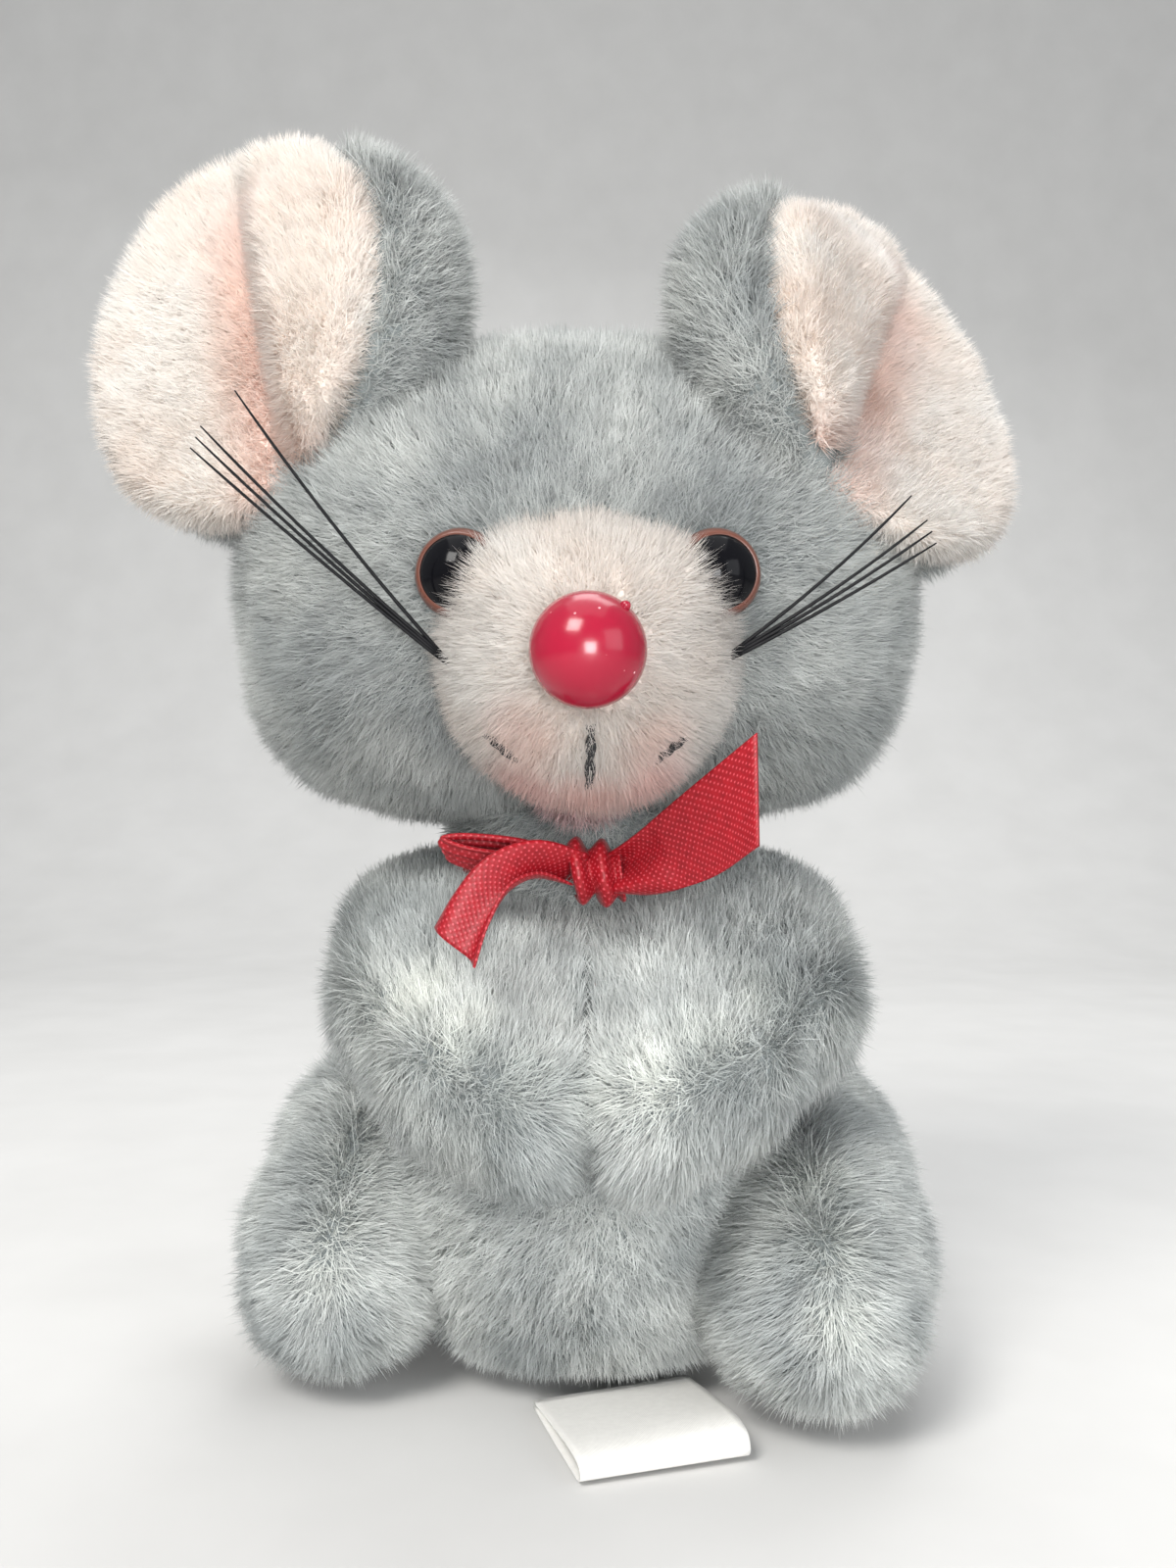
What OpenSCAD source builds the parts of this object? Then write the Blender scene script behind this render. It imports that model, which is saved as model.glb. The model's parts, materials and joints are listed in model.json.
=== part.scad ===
// Sitting plush mouse with a wind-up musical movement and a swaying head.
// Millimetres. The origin is the centre of the flat seat. The face looks towards -Y and +Z is up.

/* [Body] */
// Widest radius of the torso
body_r = 38; // [37.5:0.5:39]
// Height of the torso's widest ring
body_mid_z = 30; // [29:0.5:31]
// Height of the shoulders, where the neck opening is
body_top_z = 80; // [79.5:0.5:80.5]
// Thickness of the plush skins, pile included
skin_t = 5; // [4.5:0.1:5]

/* [Head] */
// Half the width of the head
head_half_w = 56; // [54:0.5:58]
// Half the height, and half the depth, of the head
head_half_h = 41.5; // [41:0.5:42]
// Height of the head's centre
head_z = 124; // [124:0.5:126]
// Distance of the head's centre in front of the seat's centre
head_front = 5; // [4.5:0.5:5.5]
// How far the head sways to each side, in degrees
sway_deg = 8; // [5:0.5:8]

/* [Face] */
// Radius of the muzzle
muzzle_r = 22; // [21:0.5:22.5]
// Radius of the nose ball
nose_r = 7.3; // [6.5:0.1:7.5]
// Radius of each eye
eye_r = 6.2; // [5.5:0.1:6.4]
// Distance of each eye from the middle of the face
eye_x = 17.4; // [17:0.1:18]
// Radius of one whisker
whisker_r = 0.25; // [0.2:0.05:0.3]

/* [Ears] */
// Radius of each ear
ear_r = 36; // [32:0.5:37]
// How far the left ear turns outwards, in degrees
ear_left_turn = 26; // [10:1:32]
// How far the right ear turns outwards, in degrees
ear_right_turn = 38; // [25:1:42]
// How far the foot of the left ear comes forward, in degrees
ear_left_tilt = 12; // [5:1:20]
// How far the foot of the right ear comes forward, in degrees
ear_right_tilt = 27; // [20:1:30]

/* [Ribbon] */
// Thickness of the ribbon
ribbon_t = 0.8; // [0.6:0.1:0.9]
// Width of the ribbon
ribbon_w = 10; // [9:0.5:10.5]

/* [Movement] */
// Height of the key, spring and great wheel axis
barrel_z = 32; // [32:0.1:32.5]
// Height of the neck pin, on which the head sways
neck_z = 80; // [79.8:0.1:80.2]
// Teeth of the great wheel
great_teeth = 48; // [48:12:48]
// Teeth of the drum wheel
drum_wheel_teeth = 30; // [30:1:30]
// Teeth of the second wheel
second_teeth = 36; // [36:1:36]
// Teeth of every pinion
pinion_teeth = 12; // [12:1:12]
// Thickness of the movement's plates
plate_t = 1.5; // [1.2:0.1:1.5]
// Wall of the movement's plastic case
case_wall = 1.5; // [1.2:0.1:1.6]

/* [Key] */
// Radius of each of the key's two lobes
key_lobe_r = 8; // [6:0.5:9]
// Thickness of the key's wings
key_t = 3; // [2.5:0.1:3.5]

/* [Hidden] */
$fn = 48;

fit = 0.05;      // radial clearance of a shaft in its hole
gap = 0.3;       // space between neighbours that must not touch
big = 400;       // longer than the whole toy
paw_gap = 0.6;   // between the two paws, which meet in front

// Colours
grey_plush = [0.62, 0.66, 0.65];
cream_plush = [0.93, 0.88, 0.84];
pink_plush = [0.93, 0.76, 0.76];
ribbon_red = [0.8, 0.06, 0.1];
steel = [0.72, 0.73, 0.75];
brass = [0.82, 0.66, 0.32];
case_white = [0.9, 0.89, 0.85];

// Torso: a superellipse of revolution that is blunter above its widest ring than below it
body_power = 2.6;
body_up = 55;
body_down = 36.8;
body_steps = 22;

// Head: a superellipse of revolution about the left-right axis
head_power = 2.4;
head_steps = 26;

// Movement: y of each layer, counted back from the front plate's inner face
move_y = -5.5;
plate_gap = 16;
arbor_r = 0.8;
barrel_r = 11;
drum_r = 5.5;
pin_h = 0.6;
gear_t = 1.4;
second_layer = 0.3;
drum_layer = 2.2;
great_layer = 4.2;
drum_front = great_layer + gear_t + 0.6;
drum_len = 8;
great_module = 0.6;
drum_module = 0.45;
second_module = 0.4;
great_ratio = great_teeth / pinion_teeth;
drum_z = barrel_z + great_module * (great_teeth + pinion_teeth) / 2;
second_reach = drum_module * (drum_wheel_teeth + pinion_teeth) / 2;
second_dir = 10;
second_at = [second_reach * cos(second_dir), drum_z + second_reach * sin(second_dir)];
governor_reach = second_module * (second_teeth + pinion_teeth) / 2;
governor_dir = -60;
governor_at = second_at + governor_reach * [cos(governor_dir), sin(governor_dir)];
barrel_at = [0, barrel_z];
drum_at = [0, drum_z];

// Plates and case, as half widths and lowest and highest edges
plate_half_w = 20.5;
plate_low = barrel_z - 17;
plate_high = barrel_z + 27;
case_half_w = 23.5;
case_low = barrel_z - 20;
case_high = barrel_z + 30;
case_front_y = -8.4;
case_rear_y = 21.5;
pillar_spots = [for (x = [-18, 18], z = [plate_low + 3.5, plate_high - 3.4]) [x, z]];
pillar_r = 1.6;
screw_spots = [for (x = [-20.4, 20.4], z = [case_low + 2.6, case_high - 2.6]) [x, z]];

// Crank and rocker lever
crank_r = 5.5;
neck_arm = neck_z - drum_z;
crank_throw = neck_arm * sin(sway_deg);
crank_pin_r = 1.2;
lever_y = -6.2;
lever_t = 1.3;
lever_half_w = 3.5;
lever_top = 97;
neck_pin_r = 1.5;
neck_hole_r = 12.5;
collar_room_r = 27.5;
neck_hole_y = -4;

// Key and ratchet
ratchet_teeth = 12;
ratchet_r = 5.2;
ratchet_y = 17.8;
ratchet_t = 1.2;
click_at = [-10.2, barrel_z + 3.6];
stem_r = 3.4;
stem_bore_r = 2;
grommet_bore_r = stem_r + 0.6;
key_y = 41;

// Face
muzzle_y = -38;
muzzle_z = 109;
nose_y = -64;
nose_shank = 33.5;
nose_washer_y = -33.2;
nose_z = 108.5;
shank_r = 2.5;
eye_z = 120.5;
eye_turn = 10.5;

// ---- Shared shapes ----

// Half width of a superellipse at a distance from its middle
function bulge(r, h, power, d) = r * pow(max(0, 1 - pow(abs(d) / h, power)), 1 / power);

// Radius of the torso at height z, shrunk by inset
function body_radius(z, inset) =
    bulge(body_r - inset, (z < body_mid_z ? body_down : body_up) - inset, body_power, z - body_mid_z);

// Radius of the head at distance x from its middle, shrunk by inset
function head_radius(x, inset) =
    bulge(head_half_h - inset, head_half_w - inset, head_power, x);

// Turns a shape drawn about Z so that its axis lies along Y, with its base at y and its top behind it
module along_y(y) {
    translate([0, y, 0]) rotate([-90, 0, 0]) children();
}

// A cylinder along Y at a spot [x, z] of the movement, from one layer to another
module shaft(spot, from, to, r) {
    translate([spot[0], 0, spot[1]]) along_y(move_y + from) cylinder(r = r, h = to - from);
}

// A flat outline, drawn with x across and y up, stood on edge at a layer of the movement
module plate_at(from, thick) {
    translate([0, move_y + from + thick, 0]) rotate([90, 0, 0]) linear_extrude(thick) children();
}

// The torso as a solid of revolution between two heights
module body_solid(inset, low, high) {
    points = [for (i = [0 : body_steps])
        let (z = low + (high - low) * i / body_steps) [body_radius(z, inset), z]];
    rotate_extrude() polygon(concat([[0, low]], points, [[0, high]]));
}

// The head as a solid of revolution about the left-right axis
module head_solid(inset) {
    half = head_half_w - inset;
    points = [for (i = [1 : head_steps - 1])
        let (x = -half * cos(180 * i / head_steps)) [head_radius(x, inset), x]];
    translate([0, -head_front, head_z]) rotate([0, 90, 0]) rotate_extrude()
        polygon(concat([[0, -half]], points, [[0, half]]));
}

module neck_hole(low, high) {
    translate([0, neck_hole_y, low]) cylinder(r = neck_hole_r, h = high - low);
}

// Mirrors a right-hand shape to the left when side is -1
module on_side(side) {
    mirror([side < 0 ? 1 : 0, 0, 0]) children();
}

// ---- Gears ----

pressure = 20;
backlash = 0.07;
addendum = 0.7;
dedendum = 0.95;
flank_steps = 4;

function involute_angle(base, r) = sqrt(pow(r / base, 2) - 1) * 180 / PI - acos(base / r);

// Half the angle of a tooth at radius r
function half_tooth(pitch, teeth, r) =
    let (base = pitch * cos(pressure), rr = max(r, base))
    90 / teeth - backlash / 2 / pitch * 180 / PI + involute_angle(base, pitch) - involute_angle(base, rr);

function gear_points(module_mm, teeth, phase) =
    let (pitch = module_mm * teeth / 2,
         root = pitch - dedendum * module_mm,
         tip = pitch + addendum * module_mm)
    [for (i = [0 : teeth - 1], side = [-1, 1], k = [0 : flank_steps])
        let (step = side < 0 ? k : flank_steps - k, r = root + (tip - root) * step / flank_steps,
             a = phase + 360 * i / teeth + side * half_tooth(pitch, teeth, r))
        r * [cos(a), sin(a)]];

// A gear whose first tooth points along phase, at a spot of the movement
module gear(spot, from, module_mm, teeth, phase, bore) {
    plate_at(from, gear_t) translate(spot) difference() {
        polygon(gear_points(module_mm, teeth, phase));
        if (bore > 0) circle(r = bore);
    }
}

// Phase of a pinion tooth that meets a wheel along dir, when the wheel has a tooth there
function facing_gap(dir, teeth) = dir + 180 + 180 / teeth;

// ---- Torso ----

module body_skin() {
    color(grey_plush) difference() {
        body_solid(0, 0, body_top_z);
        body_solid(skin_t, skin_t, body_top_z + 0.01);
        neck_hole(body_top_z - 6, big);
        translate([0, 0, barrel_z]) along_y(20) cylinder(r = 6, h = 40);
    }
}

module body_stuffing() {
    room = skin_t + gap;
    color(cream_plush) difference() {
        body_solid(room, room, body_top_z - 4);
        case_block(gap, move_y + case_front_y - gap, move_y + case_rear_y + gap);
        neck_hole(case_high - 1, big);
        translate([0, 0, barrel_z]) along_y(10) cylinder(r = 9, h = 40);
    }
}

module arm(side) {
    color(grey_plush) on_side(side) difference() {
        union() {
            hull() {
                translate([26.5, -3, 63]) sphere(r = 16, $fn = 24);
                translate([22.5, -24, 54.5]) sphere(r = 14.2, $fn = 24);
            }
            hull() {
                translate([22.5, -24, 54.5]) sphere(r = 14.2, $fn = 24);
                translate([11, -27, 60]) sphere(r = 14, $fn = 24);
                translate([9, -40, 44]) sphere(r = 12, $fn = 24);
            }
        }
        translate([paw_gap / 2 - big, -big / 2, 0]) cube([big, big, big]);
        body_solid(-gap, 0, body_top_z);
        translate([0, 0, body_top_z - 5]) cylinder(r = collar_room_r, h = 10);
    }
}

module leg(side, foot) {
    color(grey_plush) on_side(side) difference() {
        hull() {
            translate([31, 4, 25]) sphere(r = 22.5, $fn = 28);
            translate(foot) sphere(r = foot[2] - 0.3, $fn = 28);
        }
        body_solid(-gap, 0, body_top_z);
        translate([0, 0, -10]) cylinder(r = 30, h = 16);
    }
}

module arm_left() { arm(-1); }
module arm_right() { arm(1); }
module leg_left() { leg(-1, [37, -22, 16.5]); }
module leg_right() { leg(1, [33.5, -34, 17.3]); }

module tail() {
    tail_r = 3.6;
    sweep_r = 22;
    color(grey_plush) difference() {
        translate([sweep_r, body_r - 5, tail_r + 0.3]) union() {
            rotate([0, 0, 60]) rotate_extrude(angle = 120) translate([sweep_r, 0]) circle(r = tail_r);
            rotate([0, 0, 60]) translate([sweep_r, 0, 0]) sphere(r = tail_r);
        }
        body_solid(-gap, 0, body_top_z);
    }
}

// ---- Ribbon and label ----

module ribbon_collar() {
    low = body_top_z - 3.6;
    color(ribbon_red) rotate_extrude() polygon([
        [body_radius(low, -gap), low],
        [body_radius(low, -gap) + ribbon_t, low],
        [body_radius(body_top_z, -gap) + ribbon_t, body_top_z],
        [body_radius(body_top_z, -gap) + 0.2, body_top_z]]);
}

// A flat strip of ribbon through four corners
module strip(corners) {
    hull() for (c = corners) translate(c) sphere(r = ribbon_t / 2, $fn = 16);
}

module ribbon_bow() {
    end_low = [21.5, -58, 83.5];
    end_high = [21.5, -58, 83.5 + 1.45 * ribbon_w];
    color(ribbon_red) union() {
        difference() {
            translate([-4.5, -40, 75.5]) cube([10, 15.2, 7.5]);
            body_solid(-gap - ribbon_t - 0.1, 60, body_top_z + 5);
        }
        strip([[1.5, -39, 80.5], [5, -39, 76.5], end_low, end_high]);
        strip([[-3, -39, 77.5], [-3, -38, 82], [-14, -45, 82], [-13, -46, 75]]);
        strip([[-14, -45, 82], [-13, -46, 75], [-20.5, -49, 73.3], [-15.2, -50, 68.4]]);
        strip([[-3, -36, 81], [-3, -38, 78.5], [-20.5, -42, 85.5], [-20.5, -41, 83]]);
    }
}

module sewn_label() {
    color("white") translate([-5, -50, 0.02]) cube([24, 21, 1]);
}

// ---- Case ----

// The case's outline with round corners, grown by extra, between two y planes
module case_block(extra, from, to) {
    corner = 4;
    w = case_half_w + extra;
    low = case_low - extra;
    high = case_high + extra;
    translate([0, to, 0]) rotate([90, 0, 0]) linear_extrude(to - from) union() {
        translate([-w + corner, low]) square([2 * (w - corner), high - low]);
        translate([-w, low + corner]) square([2 * w, high - low - 2 * corner]);
        for (x = [-w + corner, w - corner], z = [low + corner, high - corner])
            translate([x, z]) circle(r = corner);
    }
}

module lever_slot() {
    half_w = lever_half_w + (neck_z - case_high + case_wall) * tan(sway_deg) + 0.8;
    translate([-half_w, move_y + lever_y - 0.6, case_high - 5])
        cube([2 * half_w, lever_t + 1.2, 10]);
}

module screw_holes(from, to, r) {
    for (spot = screw_spots) shaft(spot, from, to, r);
}

module case_front() {
    color(case_white) difference() {
        union() {
            difference() {
                case_block(0, move_y + case_front_y, move_y);
                case_block(-case_wall, move_y + case_front_y + case_wall, move_y + 1);
            }
            for (spot = screw_spots) shaft(spot, case_front_y + 0.5, 0, 2.4);
        }
        screw_holes(case_front_y - 1, 1, 1.1);
        screw_holes(case_front_y - 1, case_front_y + 1.2, 1.9);
        lever_slot();
    }
}

module case_rear() {
    color(case_white) difference() {
        union() {
            difference() {
                case_block(0, move_y, move_y + case_rear_y);
                case_block(-case_wall, move_y - 1, move_y + case_rear_y - case_wall);
            }
            for (spot = screw_spots) shaft(spot, 0, case_rear_y - 0.5, 2.4);
        }
        screw_holes(-1, 8, 1);
        shaft(barrel_at, 10, 40, stem_r + 0.6);
    }
}

module case_screws() {
    color(steel) for (spot = screw_spots) {
        shaft(spot, case_front_y, case_front_y + 1.2, 1.8);
        shaft(spot, case_front_y + 1.2, 7, 1);
    }
}

// ---- Frame of the movement ----

module plate_outline() {
    corner = 3;
    translate([-plate_half_w + corner, plate_low])
        square([2 * (plate_half_w - corner), plate_high - plate_low]);
    translate([-plate_half_w, plate_low + corner])
        square([2 * plate_half_w, plate_high - plate_low - 2 * corner]);
    for (x = [-1, 1], z = [plate_low + corner, plate_high - corner])
        translate([x * (plate_half_w - corner), z]) circle(r = corner);
}

module plate(from, big_bore) {
    color(steel) difference() {
        plate_at(from, plate_t) plate_outline();
        for (spot = pillar_spots) shaft(spot, from - 1, from + plate_t + 1, 1.1);
        for (spot = screw_spots) shaft(spot, from - 1, from + plate_t + 1, 3);
        for (spot = [drum_at, second_at, governor_at])
            shaft(spot, from - 1, from + plate_t + 1, arbor_r + fit);
        shaft(barrel_at, from - 1, from + plate_t + 1, big_bore);
        if (from > 0) shaft(click_at, from - 1, from + plate_t + 1, 0.8);
    }
}

module front_plate() { plate(-plate_t, 1.5 + fit); }
module rear_plate() { plate(plate_gap, stem_bore_r + fit); }

module plate_pillars() {
    color(brass) difference() {
        for (spot = pillar_spots) shaft(spot, 0, plate_gap, pillar_r);
        for (spot = pillar_spots, from = [-1, plate_gap - 4]) shaft(spot, from, from + 5, 1);
    }
}

module plate_screws() {
    head = 0.8;
    color(steel) for (spot = pillar_spots) {
        shaft(spot, -plate_t - head, -plate_t, 1.9);
        shaft(spot, -plate_t, 3.5, 1);
        shaft(spot, plate_gap + plate_t, plate_gap + plate_t + head, 1.9);
        shaft(spot, plate_gap - 3.5, plate_gap + plate_t, 1);
    }
}

// ---- Comb ----

comb_teeth = 14;
comb_t = 0.7;
comb_base_x = -15.6;
comb_end_x = -20;
comb_screw_y = [2, drum_len - 2];

module comb() {
    tip_x = -drum_r - pin_h - gap;
    pitch = drum_len / comb_teeth;
    color(steel) difference() {
        translate([comb_end_x, move_y + drum_front, drum_z]) union() {
            cube([comb_base_x - comb_end_x, drum_len, comb_t]);
            for (i = [0 : comb_teeth - 1])
                translate([comb_base_x - comb_end_x - 0.01, (i + 0.15) * pitch, 0])
                    cube([tip_x - comb_base_x - 0.12 * i, 0.7 * pitch, comb_t]);
        }
        comb_screw_places() translate([0, 0, -5]) cylinder(r = 0.7, h = 10);
    }
}

module comb_screw_places() {
    for (y = comb_screw_y)
        translate([(comb_base_x + comb_end_x) / 2, move_y + drum_front + y, drum_z]) children();
}

module comb_bar() {
    depth = 3;
    color(brass) difference() {
        translate([comb_end_x, move_y, drum_z - depth])
            cube([comb_base_x - comb_end_x, plate_gap, depth]);
        comb_screw_places() translate([0, 0, -depth - 1]) cylinder(r = 0.6, h = 10);
    }
}

module comb_screws() {
    color(steel) comb_screw_places() union() {
        translate([0, 0, comb_t]) cylinder(r = 1.2, h = 0.7);
        translate([0, 0, -2.5]) cylinder(r = 0.6, h = 2.5 + comb_t);
    }
}

// ---- Barrel, drum, second wheel and governor ----

module spring_barrel() {
    wall = 0.8;
    inner_r = barrel_r - wall;
    cup = 8.8;
    color(brass) union() {
        gear(barrel_at, great_layer, great_module, great_teeth, 90, 1.5 + fit);
        difference() {
            shaft(barrel_at, great_layer + gear_t, great_layer + gear_t + cup, barrel_r);
            shaft(barrel_at, great_layer, great_layer + gear_t + cup + 1, inner_r);
        }
    }
}

module barrel_cap() {
    from = great_layer + gear_t + 8.8;
    color(brass) difference() {
        shaft(barrel_at, from, from + 0.8, barrel_r);
        shaft(barrel_at, from - 1, from + 2, stem_bore_r + fit);
    }
}

// The wound spring is stood for by its coils as concentric rings
module mainspring() {
    turns = 9;
    inner = 3.2;
    pitch = 0.7;
    low = great_layer + gear_t + 0.5;
    color([0.35, 0.38, 0.45]) for (i = [0 : turns - 1])
        difference() {
            shaft(barrel_at, low, low + 7.8, inner + i * pitch + 0.35);
            shaft(barrel_at, low - 1, low + 9, inner + i * pitch);
        }
}

module drum_arbor() {
    color(steel) union() {
        shaft(drum_at, -plate_t - 1.6, plate_gap + plate_t + 0.2, arbor_r);
        gear(drum_at, great_layer, great_module, pinion_teeth, facing_gap(90, pinion_teeth), 0);
    }
}

module drum_wheel() {
    color(brass) gear(drum_at, drum_layer, drum_module, drum_wheel_teeth, second_dir, arbor_r);
}

module music_drum() {
    tunes = 14;
    pins = 9;
    color(brass) difference() {
        union() {
            shaft(drum_at, drum_front, drum_front + drum_len, drum_r);
            for (i = [0 : tunes - 1], k = [0 : pins - 1])
                if ((i * 5 + k * 7) % 4 < 2)
                    translate([0, move_y + drum_front + (i + 0.5) * drum_len / tunes, drum_z])
                        rotate([0, k * 360 / pins + i * 11, 0])
                            cylinder(r = 0.14, h = drum_r + pin_h);
        }
        shaft(drum_at, drum_front - 1, drum_front + drum_len + 1, arbor_r);
    }
}

module crank_disc() {
    color(brass) difference() {
        shaft(drum_at, -plate_t - 1.6, -plate_t - 0.4, crank_r);
        shaft(drum_at, -plate_t - 3, -plate_t + 1, arbor_r);
    }
}

module crank_pin() {
    color(steel) shaft(drum_at + [0, crank_throw], lever_y + lever_t + gap, -plate_t - 1.6, crank_pin_r);
}

module second_arbor() {
    color(steel) union() {
        shaft(second_at, -plate_t + 0.2, plate_gap + plate_t - 0.2, arbor_r);
        gear(second_at, drum_layer, drum_module, pinion_teeth, facing_gap(second_dir, pinion_teeth), 0);
    }
}

module second_wheel() {
    color(brass) gear(second_at, second_layer, second_module, second_teeth, governor_dir, arbor_r);
}

module governor_arbor() {
    phase = facing_gap(governor_dir, pinion_teeth);
    color(steel) union() {
        shaft(governor_at, -plate_t + 0.2, plate_gap + plate_t - 0.2, arbor_r);
        gear(governor_at, second_layer, second_module, pinion_teeth, phase, 0);
    }
}

module governor_fly() {
    from = 6.8;
    len = 7.5;
    reach = 4.8;
    color("white") difference() {
        union() {
            shaft(governor_at, from, from + len, 1.6);
            translate([governor_at[0] - reach, move_y + from, governor_at[1] - 0.4])
                cube([2 * reach, len, 0.8]);
        }
        shaft(governor_at, from - 1, from + len + 1, arbor_r);
    }
}

// ---- Winding: arbor, ratchet, click and key ----

module spring_arbor() {
    color(steel) union() {
        shaft(barrel_at, -plate_t + 0.2, great_layer + gear_t + 0.2, 1.5);
        shaft(barrel_at, great_layer + gear_t + 0.2, 36, stem_bore_r);
    }
}

module ratchet_wheel() {
    root = ratchet_r - 1.2;
    step = 360 / ratchet_teeth;
    color(steel) plate_at(ratchet_y, ratchet_t) translate(barrel_at) difference() {
        polygon([for (i = [0 : ratchet_teeth - 1], k = [0, 1])
            (k == 0 ? ratchet_r : root) * [cos(step * (i + 0.02 * k)), sin(step * (i + 0.02 * k))]]);
        circle(r = stem_bore_r);
    }
}

module click() {
    color(steel) difference() {
        union() {
            shaft(click_at, ratchet_y, ratchet_y + ratchet_t, 1.8);
            plate_at(ratchet_y, ratchet_t) polygon([
                click_at + [-0.6, -1.5],
                click_at + [1.4, -1.5],
                [-4.95, barrel_z + 1.35],
                [-4.95, barrel_z + 2.2],
                click_at + [1.2, 1.2]]);
        }
        shaft(click_at, ratchet_y - 1, ratchet_y + 3, 0.8 + fit);
    }
}

module click_screw() {
    color(steel) union() {
        shaft(click_at, plate_gap, ratchet_y + ratchet_t + 0.2, 0.8);
        shaft(click_at, ratchet_y + ratchet_t + 0.2, ratchet_y + ratchet_t + 0.8, 1.7);
    }
}

module click_spring() {
    color(steel) union() {
        plate_at(ratchet_y + 0.2, 0.8) translate(click_at + [-4, -2]) square([0.5, 10]);
        plate_at(plate_gap + plate_t, 1.5) translate(click_at + [-4.4, 5.4]) square([3, 3]);
    }
}

module winding_key() {
    wing_y = key_y + 9;
    hub_r = 4.4;
    color(steel) difference() {
        union() {
            shaft(barrel_at, 24, key_y - move_y, stem_r);
            shaft(barrel_at, key_y - move_y, key_y - move_y + 8, hub_r);
            translate([0, wing_y, barrel_z - key_t / 2]) linear_extrude(key_t) union() {
                for (side = [-1, 1]) translate([side * 9, 0]) circle(r = key_lobe_r);
                square([18, 10], center = true);
            }
        }
        shaft(barrel_at, 20, 36, stem_bore_r);
    }
}

module key_grommet() {
    front = skin_t + 3.6;
    color([0.5, 0.52, 0.52]) translate([0, 0, barrel_z]) difference() {
        union() {
            along_y(body_r - front) cylinder(r = 5.8, h = front + 1.9);
            along_y(body_r + 0.5) cylinder(r = 8, h = 1.4);
            along_y(body_r - front) cylinder(r = 8, h = 1.4);
        }
        along_y(0) cylinder(r = grommet_bore_r, h = 60);
    }
}

// ---- Neck ----

module neck_bracket() {
    front = lever_y + lever_t + 0.2;
    thick = 1.3;
    color(steel) difference() {
        union() {
            translate([-5, move_y + front, case_high + 0.02]) cube([10, thick, neck_z + 4 - case_high]);
            translate([-7, move_y + front, case_high + 0.02]) cube([14, 10, 1.3]);
        }
        shaft([0, neck_z], front - 1, front + thick + 1, neck_pin_r);
    }
}

module neck_pin() {
    head_at = lever_y - 1.1;
    tail_at = lever_y + lever_t + 1.5;
    color(brass) union() {
        shaft([0, neck_z], head_at, lever_y - 0.2, 2.6);
        shaft([0, neck_z], head_at, tail_at + 0.8, neck_pin_r);
        shaft([0, neck_z], tail_at, tail_at + 0.8, 2.2);
    }
}

module rocker_lever() {
    slot_low = neck_z - neck_arm - crank_throw - crank_pin_r - 0.8;
    slot_high = neck_z - neck_arm + crank_throw + crank_pin_r + 0.8;
    slot_half_w = crank_pin_r + 0.1;
    low = slot_low - 2;
    color(steel) difference() {
        plate_at(lever_y, lever_t) difference() {
            translate([-lever_half_w, low]) square([2 * lever_half_w, lever_top - low]);
            translate([-slot_half_w, slot_low]) square([2 * slot_half_w, slot_high - slot_low]);
        }
        shaft([0, neck_z], lever_y - 1, lever_y + lever_t + 1, neck_pin_r + fit);
    }
}

head_plate_z = 92;
head_plate_t = 2.5;
head_plate_r = 13;

module head_plate() {
    lever_mid = move_y + lever_y + lever_t / 2;
    color(case_white) difference() {
        translate([0, lever_mid + 4, head_plate_z]) cylinder(r = head_plate_r, h = head_plate_t);
        translate([-lever_half_w, lever_mid - lever_t / 2, head_plate_z - 1])
            cube([2 * lever_half_w, lever_t, head_plate_t + 2]);
    }
}

// ---- Head ----

module eye_frame(side) {
    surface_y = -head_front - sqrt(pow(head_radius(eye_x, 0), 2) - pow(eye_z - head_z, 2));
    translate([side * eye_x, surface_y - gap, eye_z]) rotate([0, 0, side * eye_turn]) children();
}

module ear_frame(side) {
    x = side < 0 ? -48.3 : 39.6;
    z = side < 0 ? 161.8 : 154.6;
    turn = side < 0 ? ear_left_turn : ear_right_turn;
    tilt = side < 0 ? ear_left_tilt : ear_right_tilt;
    translate([x, -12, z]) rotate([-tilt, 0, 0]) rotate([0, 0, side * turn]) rotate([90, 0, 0])
        children();
}

module head_skin() {
    color(grey_plush) difference() {
        head_solid(0);
        head_solid(skin_t);
        neck_hole(70, 92);
        translate([0, 0, nose_z]) along_y(-70) cylinder(r = shank_r + gap, h = 50);
        for (side = [-1, 1]) eye_frame(side) along_y(-2) cylinder(r = 2.2, h = 14);
    }
}

module head_stuffing() {
    room = skin_t + gap;
    pocket_y = move_y + lever_y + lever_t / 2;
    pocket_top = head_plate_z + head_plate_t + gap;
    half_w = lever_half_w + gap;
    color(cream_plush) difference() {
        head_solid(room);
        neck_hole(70, 90);
        translate([0, pocket_y + 4, 80]) cylinder(r = head_plate_r + gap, h = pocket_top - 80);
        translate([-half_w, pocket_y - 1, 90]) cube([2 * half_w, 2, lever_top - 89]);
        translate([0, 0, nose_z]) along_y(-60) cylinder(r = 7.6, h = 31);
        for (side = [-1, 1]) eye_frame(side) along_y(-2) cylinder(r = 6.2, h = 13);
    }
}

module muzzle() {
    color(cream_plush) difference() {
        translate([0, muzzle_y, muzzle_z]) sphere(r = muzzle_r);
        head_solid(-0.1);
        for (side = [-1, 1]) eye_frame(side) along_y(-20) cylinder(r = eye_r + gap, h = 30);
        translate([0, 0, nose_z]) along_y(-70) cylinder(r = shank_r + 0.1, h = 50);
        translate([0, nose_y, nose_z]) sphere(r = nose_r + 0.1);
    }
}

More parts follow.
